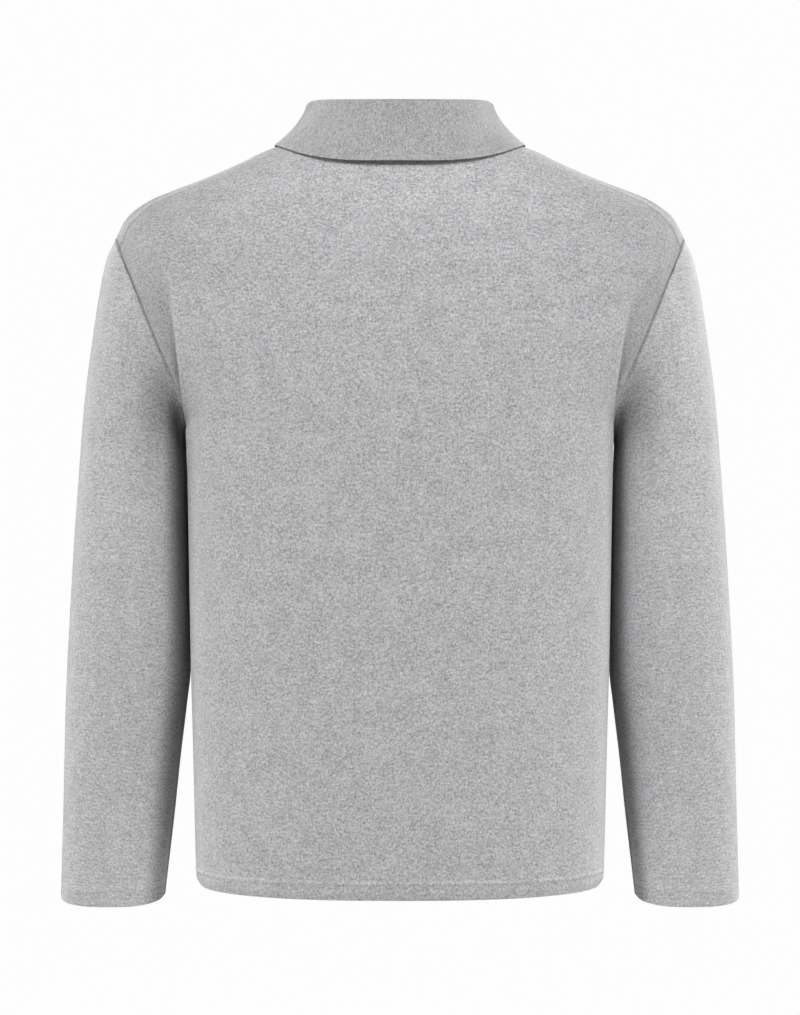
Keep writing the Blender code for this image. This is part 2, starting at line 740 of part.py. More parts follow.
# ---------------------------------------------------------------- bands and collar
def band_grid(sewn_edge, free_edge, sign, lift):
    """A button band's outer face, from its sewn edge past the centre to its free edge."""
    stations = [(sewn_edge, 0.0), (sewn_edge - BAND_RAMP, lift),
                (sewn_edge * BAND_NEAR_SHARE, lift), (-free_edge * BAND_FAR_SHARE, lift),
                (-free_edge, lift)]
    rows = []
    for index in range(len(BODY_ROW_HEIGHTS) + len(front_climbs()) - 1):
        rows.append([])
    for edge, raised in stations:
        side_sign = sign if edge >= 0.0 else -sign
        distance = abs(edge)
        strip = front_strip_rows([distance / SHOULDER_TIP_OUT], distance, side_sign)
        for row, points in enumerate(strip):
            point = points[0].copy()
            point[1] += raised
            rows[row].append(point)
    return np.array(rows)


def lowered_top(grid, clearance):
    """A copy of a grid whose last row stops short of the neck seam."""
    trimmed = grid.copy()
    step = grid[-2] - grid[-1]
    trimmed[-1] = grid[-1] + step / np.linalg.norm(step, axis=-1, keepdims=True) * clearance
    return trimmed


def guide_point(guide, angle):
    """A point of a collar guide; 0 is the centre back, 90 the side, 180 the front."""
    turned = math.radians(angle)
    if angle > 90.0:
        turned = HALF_TURN * (1.0 + (angle - 90.0) / 90.0 * (guide.front_angle - 90.0) / 90.0)
    across = math.sin(turned)
    forward = abs(math.cos(turned))
    out = guide.half_width * across
    if angle <= 90.0:
        height = guide.back_height + (guide.side_height - guide.back_height) * across ** guide.back_level
        return np.array([out, -guide.back_depth * forward, height])
    height = guide.side_height + (guide.front_height - guide.side_height) * forward ** guide.front_level
    return np.array([out, guide.front_depth * forward, height])


def front_height_at(out, forward):
    """The height of the fronts' outer face over a place in plan."""
    low = 0.0
    high = 1.0
    height = UNDERARM_HEIGHT
    for _ in range(HALVINGS):
        climb = 0.5 * (low + high)
        share = out / SHOULDER_TIP_OUT
        for _ in range(4):
            point = front_point(share, climb)
            share = share * out / max(point[0], 1e-6)
        height = point[2]
        if point[1] > forward:
            low = climb
        else:
            high = climb
    return height


def edge_point(angle):
    """A point of the collar's free edge, which lies over the fronts' own surface."""
    point = guide_point(COLLAR_EDGE, angle)
    if angle <= 90.0:
        return point
    point[0] = COLLAR_EDGE.half_width * (point[0] / COLLAR_EDGE.half_width) ** EDGE_FRONT_FULLNESS
    point[1] = COLLAR_EDGE.front_depth * (point[1] / COLLAR_EDGE.front_depth) ** EDGE_FRONT_FULLNESS
    point[2] = front_height_at(point[0], point[1]) + EDGE_CLEARANCE
    steep = point[1] / COLLAR_EDGE.front_depth
    point[1] += EDGE_CLEARANCE * steep
    return point


def collar_angles():
    """Angles round the neck from the centre back to the collar's front end."""
    angles = [90.0 * step / NECK_COLUMNS for step in range(NECK_COLUMNS + 1)]
    edge = 180.0 - math.degrees(math.asin(BAND_LEFT_EDGE / NECK_HALF_WIDTH))
    angles += [90.0 + (edge - 90.0) * step / FRONT_NECK_COLUMNS
               for step in range(1, FRONT_NECK_COLUMNS + 1)]
    end = 180.0 - math.degrees(math.asin(COLLAR_FRONT_GAP / NECK_HALF_WIDTH))
    angles += [edge + (end - edge) * step / BAND_NECK_STATIONS
               for step in range(1, BAND_NECK_STATIONS + 1)]
    return angles


def hermite(start, start_pull, end, end_pull, share):
    """A point on the curve from start to end with the given pulls at its ends."""
    rest = 1.0 - share
    return (start * (1.0 + 2.0 * share) * rest ** 2 + start_pull * share * rest ** 2
            + end * (3.0 - 2.0 * share) * share ** 2 - end_pull * share ** 2 * rest)


def collar_profile(angle, normal_of):
    """The collar's outer face at one angle: up the stand, over the roll, down the fall."""
    side = BACK if angle <= 90.0 else FRONT
    share = neck_share() * math.sin(math.radians(angle))
    if side == BACK:
        seam = back_point(share, 1.0)
        below = back_point(share, BELOW_SEAM_CLIMB)
    else:
        seam = front_point(share, 1.0)
        below = front_point(share, BELOW_SEAM_CLIMB)
    normal = normal_of(seam, angle)
    leave = seam - below
    leave = leave / np.linalg.norm(leave)
    roll = guide_point(COLLAR_ROLL, angle)
    edge = edge_point(angle)
    outward = edge - roll
    outward[2] = 0.0
    outward = outward / np.linalg.norm(outward)
    up = np.array([0.0, 0.0, 1.0])
    base = seam - normal * KNIT_THICKNESS + leave * COLLAR_SEAM_GAP
    roll_centre = roll - up * ROLL_RADIUS
    roll_start = roll_centre - outward * ROLL_RADIUS
    height = float(np.linalg.norm(roll_start - base))
    profile = [hermite(base, leave * height * STAND_LEAN, roll_start, up * height,
                       step / STAND_ROWS) for step in range(STAND_ROWS)]
    last_turn = math.pi - math.radians(ROLL_END_ANGLE)
    for step in range(ROLL_ROWS + 1):
        turn = math.pi - last_turn * step / ROLL_ROWS
        profile.append(roll_centre + outward * math.cos(turn) * ROLL_RADIUS
                       + up * math.sin(turn) * ROLL_RADIUS)
    fall_start = profile[-1]
    forward = max(0.0, -math.cos(math.radians(angle)))
    start_out = FALL_START_OUT + (FALL_START_OUT_FRONT - FALL_START_OUT) * forward
    start_way = outward * start_out - up
    end_out = FALL_END_OUT_SIDE + (FALL_END_OUT_FRONT - FALL_END_OUT_SIDE) * forward ** FALL_END_FADE
    end_way = outward * end_out - up * math.sqrt(1.0 - end_out * end_out)
    for step in range(1, FALL_ROWS + 1):
        profile.append(hermite(fall_start, start_way * FALL_START_PULL, edge,
                               end_way * FALL_END_PULL, step / FALL_ROWS))
    return profile, -normal


def collar_grid(totals):
    """The collar's outer face, from its left front end round the back to its right one."""
    def normal_of(point, angle):
        faces = totals.get(point_key(point))
        if faces is None:
            tilt = math.radians(FRONT_SEAM_TILT)
            return np.array([0.0, math.sin(tilt), math.cos(tilt)])
        mean = np.mean([np.mean(group, axis=0) for group in faces.values()], axis=0)
        return mean / np.linalg.norm(mean)

    half = [collar_profile(angle, normal_of) for angle in collar_angles()]
    right = [np.array(profile) for profile, _ in half]
    right_first = [normal for _, normal in half]
    mirror = np.array([-1.0, 1.0, 1.0])
    left = [profile * mirror for profile in reversed(right[1:])]
    left_first = [normal * mirror for normal in reversed(right_first[1:])]
    return np.array(left + right), np.array(left_first + right_first)


# ---------------------------------------------------------------- buttons
def button_mesh():
    """One sewn-through button, its face towards +Z, made of a turned body."""
    shape = bmesh.new()
    rings = []
    for outline in BUTTON_RINGS:
        ring = []
        for step in range(BUTTON_SIDES):
            turn = 2.0 * math.pi * step / BUTTON_SIDES
            ring.append(shape.verts.new((outline.radius * math.cos(turn) * MM,
                                         outline.radius * math.sin(turn) * MM,
                                         outline.height * MM)))
        rings.append(ring)
    for below, above in zip(rings, rings[1:]):
        for step in range(BUTTON_SIDES):
            after = (step + 1) % BUTTON_SIDES
            shape.faces.new((below[step], below[after], above[after], above[step]))
    shape.faces.new(list(reversed(rings[0])))
    shape.faces.new(rings[-1])
    bmesh.ops.recalc_face_normals(shape, faces=shape.faces)
    mesh = bpy.data.meshes.new("button body")
    shape.to_mesh(mesh)
    shape.free()
    return mesh


def hole_cutter():
    """The four holes' pins, joined in one guide."""
    shape = bmesh.new()
    for across in (-0.5, 0.5):
        for along in (-0.5, 0.5):
            pin = bmesh.ops.create_cone(
                shape, cap_ends=True, segments=HOLE_SIDES, radius1=0.5 * BUTTON_HOLE_DIAMETER * MM,
                radius2=0.5 * BUTTON_HOLE_DIAMETER * MM, depth=3.0 * BUTTON_THICKNESS * MM)
            bmesh.ops.translate(shape, verts=pin["verts"],
                                vec=(across * BUTTON_HOLE_SPACING * MM,
                                     along * BUTTON_HOLE_SPACING * MM, 0.0))
    mesh = bpy.data.meshes.new("hole guide")
    shape.to_mesh(mesh)
    shape.free()
    cutter = bpy.data.objects.new("hole_guide", mesh)
    cutter.hide_render = True
    cutter.display_type = 'WIRE'
    bpy.context.scene.collection.objects.link(cutter)
    return cutter


def strip_point_at(grid, step, height):
    """The point and outward direction of a band's column at a given height."""
    line = grid[:, step]
    row = int(np.searchsorted(line[:, 2], height)) - 1
    share = (height - line[row, 2]) / (line[row + 1, 2] - line[row, 2])
    point = line[row] * (1.0 - share) + line[row + 1] * share
    way = line[row + 1] - line[row]
    outward = np.cross(np.array([1.0, 0.0, 0.0]), way)
    outward = outward / np.linalg.norm(outward)
    return point, outward if outward[1] > 0.0 else -outward


def add_buttons(band):
    """Place the row of buttons down the over band."""
    mesh = button_mesh()
    cutter = hole_cutter()
    for index in range(BUTTON_COUNT):
        share = index / (BUTTON_COUNT - 1)
        height = BUTTON_TOP_HEIGHT + (BUTTON_LOW_HEIGHT - BUTTON_TOP_HEIGHT) * share
        point, outward = strip_point_at(band, BAND_MIDDLE_COLUMN, height)
        point[0] = BUTTON_OUT
        lift = 0.5 * BUTTON_THICKNESS + BUTTON_CLEARANCE
        place = (point + outward * lift) * MM
        button = bpy.data.objects.new("button_%d" % (index + 1), mesh.copy())
        button.location = tuple(place)
        tilt = math.atan2(outward[2], outward[1])
        button.rotation_euler = (-HALF_TURN + tilt, 0.0, 0.0)
        cutter_copy = cutter.copy()
        cutter_copy.location = button.location
        cutter_copy.rotation_euler = button.rotation_euler
        cutter_copy.name = "hole_guide_%d" % (index + 1)
        bpy.context.scene.collection.objects.link(cutter_copy)
        button.data.materials.append(cloth_material(BUTTON_GREY))
        bpy.context.scene.collection.objects.link(button)
        holes = button.modifiers.new("holes", 'BOOLEAN')
        holes.operation = 'DIFFERENCE'
        holes.solver = 'EXACT'
        holes.object = cutter_copy
    bpy.data.objects.remove(cutter, do_unlink=True)


# ---------------------------------------------------------------- the whole garment
def clear_scene():
    """Remove every object of the scene."""
    for thing in list(bpy.data.objects):
        bpy.data.objects.remove(thing, do_unlink=True)


def build_cardigan():
    """Work out every panel's outer face, then add the walls, the collar and the buttons."""
    back = back_grid()
    front_left = front_grid(BAND_LEFT_EDGE, -1.0)
    front_right = front_grid(BAND_RIGHT_EDGE, 1.0)
    loop = armhole_loop(back, front_right)
    sleeve_right = sleeve_grid(loop)
    sleeve_left = sleeve_right * np.array([-1.0, 1.0, 1.0])
    band_left = band_grid(BAND_LEFT_EDGE, BAND_OVERHANG, -1.0, BAND_LIFT)
    band_right = band_grid(BAND_RIGHT_EDGE, BAND_UNDERHANG, 1.0, -BAND_SINK)

    totals = {}
    add_face_normals(back, False, False, "body", totals)
    add_face_normals(front_left, False, False, "body", totals)
    add_face_normals(front_right, False, True, "body", totals)
    add_face_normals(sleeve_right, True, True, "sleeve", totals)
    add_face_normals(sleeve_left, True, False, "sleeve", totals)
    add_face_normals(band_left, False, True, "body", totals)
    add_face_normals(band_right, False, False, "body", totals)

    ends = ("first_column", "last_column", "last_row")
    add_wall("back", back, totals, ends, False, HEATHER_GREY)
    add_wall("front_left", front_left, totals, ends, False, HEATHER_GREY)
    add_wall("front_right", front_right, totals, ends, False, HEATHER_GREY)
    add_wall("sleeve_left", sleeve_left, totals, ("first_row",), True, HEATHER_GREY)
    add_wall("sleeve_right", sleeve_right, totals, ("first_row",), True, HEATHER_GREY)
    for name, grid, flip in (("button_band_left", band_left, True),
                             ("button_band_right", band_right, False)):
        trimmed = lowered_top(grid, BAND_TOP_CLEARANCE)
        band_totals = dict(totals)
        for step in range(grid.shape[1]):
            band_totals[point_key(trimmed[-1, step])] = totals[point_key(grid[-1, step])]
        add_wall(name, trimmed, band_totals, ("first_column",), False, BAND_GREY)

    collar, first_normals = collar_grid(totals)
    collar_totals = {}
    add_face_normals(collar, False, False, "collar", collar_totals)
    for station in range(collar.shape[0]):
        collar_totals[point_key(collar[station, 0])] = {"collar": [first_normals[station]]}
    add_wall("collar", collar, collar_totals, (), False, COLLAR_GREY)
    add_buttons(band_left)


clear_scene()
build_cardigan()
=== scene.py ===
"""Stand collar cardigan in a fine heather knit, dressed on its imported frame.

The garment hangs as it is worn, hollow, with open neck, hem and cuffs. Its back faces -Y
and the buttoned front faces +Y. Measures are in millimetres, in the frame of the solids.
"""

import logging
import math
from dataclasses import dataclass, field
from enum import Enum
from functools import lru_cache
from typing import NamedTuple, Sequence, Union

import bmesh
import bpy
import numpy as np
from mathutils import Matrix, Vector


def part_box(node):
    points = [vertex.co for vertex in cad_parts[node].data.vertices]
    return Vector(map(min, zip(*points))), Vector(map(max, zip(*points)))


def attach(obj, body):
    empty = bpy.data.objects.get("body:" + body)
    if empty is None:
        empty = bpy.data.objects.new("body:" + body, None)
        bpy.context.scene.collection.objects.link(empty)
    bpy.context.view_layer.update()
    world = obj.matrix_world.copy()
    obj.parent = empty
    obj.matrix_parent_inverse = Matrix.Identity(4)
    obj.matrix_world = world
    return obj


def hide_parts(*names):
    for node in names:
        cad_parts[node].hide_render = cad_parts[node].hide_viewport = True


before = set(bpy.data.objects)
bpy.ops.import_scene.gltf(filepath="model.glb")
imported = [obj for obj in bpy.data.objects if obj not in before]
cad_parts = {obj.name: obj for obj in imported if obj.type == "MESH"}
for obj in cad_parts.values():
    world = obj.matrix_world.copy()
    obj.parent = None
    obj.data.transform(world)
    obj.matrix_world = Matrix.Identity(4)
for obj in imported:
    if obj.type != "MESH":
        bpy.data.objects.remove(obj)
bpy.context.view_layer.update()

LOG = logging.getLogger("cardigan")
MM = 0.001
QUARTER_TURN = math.pi / 2.0
HALVINGS = 34
ANGLE_STATIONS = 1600
NEAR = 1e-9
Socket = Union[float, bpy.types.NodeSocket]


class Face(Enum):
    """The back or the front of the body, as a sign along Y."""

    BACK = -1.0
    FRONT = 1.0

    @property
    def depth(self) -> str:
        """The tables' column for this face's depth."""
        return self.name.lower() + "_depth"


class Side(Enum):
    """The wearer's left or right, as a sign along X."""

    LEFT = -1.0
    RIGHT = 1.0

    @property
    def word(self) -> str:
        """The side's name as it ends a piece's name."""
        return self.name.lower()


# ------------------------------------------------------------------ curves and gradings
def bridge(start: np.ndarray, start_pull: np.ndarray, end: np.ndarray, end_pull: np.ndarray,
           share: np.ndarray) -> np.ndarray:
    """The curve from start to end with the given pulls at its ends."""
    rest = 1.0 - share
    return (start * (1.0 + 2.0 * share) * rest ** 2 + start_pull * share * rest ** 2
            + end * (3.0 - 2.0 * share) * share ** 2 - end_pull * share ** 2 * rest)


def curve_through(stations: Sequence[float], values: Sequence[float], at: np.ndarray) -> np.ndarray:
    """Read a smooth curve through a column, with no overshoot between its rows.

    Args:
        stations: rising places of the rows.
        values: the column's values there.
        at: where to read the curve.

    Returns:
        The curve's values, in the shape of `at`.
    """
    places, heights = np.asarray(stations, dtype=float), np.asarray(values, dtype=float)
    steps = np.diff(places)
    slopes = np.diff(heights) / steps
    before, after = slopes[:-1], slopes[1:]
    near, far = 2.0 * steps[1:] + steps[:-1], steps[1:] + 2.0 * steps[:-1]
    same_way = before * after > 0.0
    blended = (near + far) / (near / np.where(same_way, before, 1.0)
                              + far / np.where(same_way, after, 1.0))
    tangents = np.concatenate([slopes[:1], np.where(same_way, blended, 0.0), slopes[-1:]])
    reading = np.clip(np.asarray(at, dtype=float), places[0], places[-1])
    cell = np.clip(np.searchsorted(places, reading, side="right") - 1, 0, len(steps) - 1)
    step = steps[cell]
    return bridge(heights[cell], tangents[cell] * step, heights[cell + 1],
                  tangents[cell + 1] * step, (reading - places[cell]) / step)


def smooth_step(share: np.ndarray) -> np.ndarray:
    """0 to 1 with level ends."""
    inside = np.clip(share, 0.0, 1.0)
    return inside * inside * (3.0 - 2.0 * inside)


def hump(distance: np.ndarray, half_width: float) -> np.ndarray:
    """A soft hump, 1 in its middle."""
    return np.exp(-((distance / half_width) ** 2))


def graded(start: float, stop: float, first: float, last: float, widest: float,
           growth: float = 0.07) -> np.ndarray:
    """Stations that lie close together at the ends and wider apart between them.

    Args:
        start: first station.
        stop: last station.
        first: spacing at the start.
        last: spacing at the end.
        widest: largest spacing.
        growth: how fast the spacing grows with the distance from an end.

    Returns:
        The stations, both ends included.
    """
    fine = np.linspace(start, stop, 4001)
    density = 1.0 / np.minimum(widest, np.minimum(first + growth * (fine - start),
                                                  last + growth * (stop - fine)))
    gathered = np.concatenate([[0.0], np.cumsum(0.5 * (density[1:] + density[:-1])
                                                * np.diff(fine))])
    count = max(2, int(math.ceil(gathered[-1])) + 1)
    return np.interp(np.linspace(0.0, gathered[-1], count), gathered, fine)


def unit(ways: np.ndarray) -> np.ndarray:
    """The ways, each with length 1."""
    return ways / np.maximum(np.linalg.norm(ways, axis=-1, keepdims=True), NEAR)


def run_along(grid: np.ndarray, axis: int) -> np.ndarray:
    """The distance run along a grid's columns (axis 0) or rows (axis 1) from their start."""
    steps = np.linalg.norm(np.diff(grid, axis=axis), axis=-1)
    return np.cumsum(np.pad(steps, [(1 - axis, 0), (axis, 0)]), axis=axis)


# ------------------------------------------------------------------ tables of the form
@dataclass(frozen=True)
class Table:
    """Named rows of measures under a head, read as smooth curves."""

    head: str
    rows: tuple

    def column(self, name: str) -> np.ndarray:
        """One column's values, row by row."""
        place = self.head.split().index(name) + 1
        return np.array([row[place] for row in self.rows], dtype=float)

    def read(self, name: str, at: np.ndarray, key: str = "") -> np.ndarray:
        """Read a column where the key column has the values `at`.

        Args:
            name: the column to read.
            at: values of the key column.
            key: the key column; the first one where it is left out.

        Returns:
            The column's values there.
        """
        keys = self.column(key or self.head.split()[0])
        order = np.argsort(keys)
        return curve_through(keys[order], self.column(name)[order], at)


UNDERARM_HEIGHT = -256.0
SHOULDER_TIP_HEIGHT = -82.0
SHOULDER_TIP_OUT = 249.5
NECK_HALF_WIDTH = 93.0
NECK_SIDE_HEIGHT = 2.0
# Levels of the body below the armholes.
BODY_LEVELS = Table("height half_width back_depth front_depth squareness", (
    ("hem edge", -652.3, 174.8, 118, 119, 2.35),
    ("hem fold", -645, 178.6, 120, 121, 2.35),
    ("hem seam", -637, 179, 120, 121, 2.35),
    ("low hip", -590, 180.3, 119, 121.5, 2.35),
    ("hip", -530, 181.7, 117.5, 122, 2.36),
    ("waist", -450, 183.8, 115.5, 121.5, 2.40),
    ("ribs", -370, 185.2, 115.5, 122.5, 2.46),
    ("chest", -310, 186.2, 117, 124, 2.52),
    ("underarm", UNDERARM_HEIGHT, 187.5, 118.5, 125, 2.60),
))
# Levels of the armhole seam; rise is the share of the armhole's height.
ARMHOLE_LEVELS = Table("rise out back_depth front_depth squareness", (
    ("underarm", 0.00, 187.5, 0, 0, 2.60),
    ("underarm bend", 0.05, 186.3, 26, 28, 2.66),
    ("low", 0.13, 188.6, 41, 45, 2.74),
    ("lower third", 0.25, 195.6, 54, 58, 2.80),
    ("middle", 0.45, 210, 65, 66, 2.70),
    ("upper third", 0.65, 224.2, 66, 63, 2.55),
    ("blade", 0.76, 232, 60, 56, 2.45),
    ("high", 0.86, 240, 49, 45, 2.38),
    ("cap", 0.95, 246.2, 29, 26, 2.32),
    ("tip", 1.00, SHOULDER_TIP_OUT, 0, 0, 2.30),
))
SEAM_STEP_RISES = (0.0, 0.05, 0.12, 0.21, 0.31, 0.42, 0.53, 0.64, 0.74, 0.83, 0.91, 0.966, 1.0)
# The shoulder's ridge line, seen from behind.
RIDGE = Table("out height", (
    ("neck point", NECK_HALF_WIDTH, NECK_SIDE_HEIGHT),
    ("under the collar", 101, -2.4),
    ("collar edge", 110, -6.6),
    ("past the collar", 116, -8.4),
    ("near quarter", 122, -11),
    ("near third", 134.2, -17.4),
    ("near half", 155, -27),
    ("middle", 173.8, -34.9),
    ("far third", 200, -44.8),
    ("drop", 217.8, -51.8),
    ("turn", 231.4, -60),
    ("edge", 241.6, -69),
    ("tip", SHOULDER_TIP_OUT, SHOULDER_TIP_HEIGHT),
))
# Rings of a sleeve: their outer and inner ends, depth, place and lean.
SLEEVE_LEVELS = Table("outer_out outer_height inner_out inner_height "
                      "half_depth centre_forward lean_degrees", (
    ("armhole", 249.5, -82, 187.5, UNDERARM_HEIGHT, 66, 0, 0),
    ("cap", 258.6, -105, 190.6, -262, 66.5, 2, 0),
    ("crown", 265.9, -140, 190.6, -273, 67, 4, 0.5),
    ("upper arm", 271.4, -177, 189.4, -289, 67, 7, 1),
    ("biceps", 277.9, -228, 188.3, -314, 66, 11, 2),
    ("lower biceps", 282.8, -288, 187.5, -347, 64, 15, 3.2),
    ("above elbow", 287.8, -351, 187, -386, 61, 18.5, 4.5),
    ("elbow", 291.4, -405, 186.8, -425, 58, 22, 5.8),
    ("forearm", 295, -458, 187.9, -466, 54.5, 27, 7),
    ("mid forearm", 297, -494, 191.6, -497, 52, 31.5, 7.8),
    ("low forearm", 299.2, -548, 198.2, -549, 47.5, 38.5, 8.6),
    ("wrist", 301, -592, 203, -592, 43.8, 45, 9.1),
    ("cuff seam", 303, -640, 208.6, -640, 40.2, 50.5, 9.3),
    ("cuff edge", 304.2, -670, 211.8, -670, 38, 53.5, 9.3),
))
# How a sleeve turns in beside the body, and how much painted shade darkens its inner side, by the
# distance down from the armhole.
INNER_TURN = Table("down tuck shade", (
    ("armhole", 0, 0, 0.12),
    ("under the seam", 10, 1.5, 0.46),
    ("armpit", 30, 5, 0.70),
    ("upper arm", 110, 7, 0.76),
    ("elbow", 210, 6, 0.70),
    ("forearm", 320, 5, 0.60),
    ("wrist", 430, 3.5, 0.54),
    ("cuff", 600, 2, 0.50),
))
# Soft creases across a sleeve; turn is the place round it in degrees.
SLEEVE_CREASES = Table("height turn half_length half_turn rise slant", (
    ("inner elbow, upper", -372, 228, 7, 46, -1.9, 10),
    ("inner elbow, roll", -388, 232, 7, 48, 1.3, 10),
    ("inner elbow, lower", -404, 236, 7, 42, -1.6, 8),
    ("forearm drag", -486, 262, 9, 40, -1.1, -12),
    ("back of the elbow", -424, 96, 46, 52, 1, 0),
    ("upper arm hollow", -226, 70, 46, 36, -0.8, 0),
    ("wrist drag", -604, 250, 8, 38, -0.9, 9),
))
# The folds that run down from the armholes beside the sleeves.
FOLD_HEAD = "height out crest trough width"
BACK_LEFT_FOLD = Table(FOLD_HEAD, (
    ("upper end", -98, 196.4, 0, 0, 16),
    ("fading in", -122, 195.2, 0.3, 1.3, 14),
    ("shoulder blade", -146, 193.4, 0.9, 3.8, 11),
    ("middle", -187, 190.2, 1.7, 6.5, 9),
    ("low", -225, 187.2, 1.7, 5.9, 7),
    ("underarm", -256, 185.4, 1.2, 4.3, 6),
    ("lower end", -300, 185.2, 0, 0, 6),
))
BACK_RIGHT_FOLD = Table(FOLD_HEAD, (
    ("upper end", -104, 200, 0, 0, 16),
    ("fading in", -128, 197.4, 0.2, 1.1, 15),
    ("shoulder blade", -152, 193.2, 0.8, 3.5, 12),
    ("middle", -190, 188.6, 1.5, 6.2, 9.5),
    ("low", -228, 185, 1.5, 5.4, 7.5),
    ("underarm", -256, 184.7, 1, 4.1, 6),
    ("lower end", -296, 185.2, 0, 0, 6),
))
FRONT_LEFT_FOLD = Table(FOLD_HEAD, (
    ("upper end", -112, 203, 0, 0, 16),
    ("fading in", -140, 198, 0.4, 3, 14),
    ("chest", -176, 191.5, 1.4, 5.9, 11),
    ("low", -220, 186.4, 1.7, 5.9, 8),
    ("underarm", -256, 184.4, 1.2, 4.1, 6.5),
    ("lower end", -310, 184.6, 0, 0, 6),
))
FRONT_RIGHT_FOLD = Table(FOLD_HEAD, (
    ("upper end", -106, 204, 0, 0, 16),
    ("fading in", -134, 200, 0.4, 2.7, 15),
    ("chest", -170, 193.6, 1.5, 6.5, 10),
    ("low", -214, 187.6, 1.8, 6.2, 8),
    ("underarm", -256, 184.8, 1.2, 4.3, 6.5),
    ("lower end", -304, 184.8, 0, 0, 6),
))
# Broad soft rises and hollows of a panel: place, reach and rise.
SWELL_HEAD = "across height half_width half_height rise"
BACK_SWELLS = Table(SWELL_HEAD, (
    ("left blade", -96, -128, 62, 70, 1.6),
    ("right blade", 92, -134, 60, 74, 1.5),
    ("spine", 4, -190, 34, 120, -1.1),
    ("left drape", -128, -452, 26, 150, -1),
    ("right drape", 134, -470, 24, 160, -1.1),
    ("left hip", -72, -566, 46, 70, 0.9),
    ("right hip", 60, -548, 50, 80, 0.8),
))
FRONT_SWELLS = Table(SWELL_HEAD, (
    ("left chest", -92, -200, 56, 80, 1.5),
    ("right chest", 90, -206, 54, 76, 1.5),
    ("left drape", -120, -430, 24, 150, -1.2),
    ("right drape", 126, -452, 26, 140, -1.1),
    ("left hip", -70, -570, 42, 70, 0.9),
    ("right hip", 74, -560, 44, 72, 0.9),
))
# Rings of a button's turned outline, from its underside's middle.
BUTTON_RINGS = Table("radius height", (
    ("underside", 5.6, -1.6),
    ("underside edge", 6.6, -1.5),
    ("lower side", 7.9, -1),
    ("side", 8.5, -0.15),
    ("upper side", 8.4, 0.7),
    ("rim's edge", 8, 1.3),
    ("rim", 7.5, 1.6),
    ("rim's inside", 6.9, 1.5),
    ("slope", 6.2, 1.05),
    ("edge of the dish", 5.4, 0.8),
))


class CollarGuide(NamedTuple):
    """One line round the collar: half width, depths, heights and how long they stay level."""

    half_width: float
    back_depth: float
    front_depth: float
    side_height: float
    back_height: float
    front_height: float
    back_level: float
    front_level: float
    front_angle: float


COLLAR_ROLL = CollarGuide(78.0, 61.0, 78.0, 33.6, 28.3, -42.0, 2.4, 1.5, 178.5)
COLLAR_EDGE = CollarGuide(110.4, 85.0, 106.0, -3.8, -26.4, -120.0, 3.2, 1.2, 160.0)


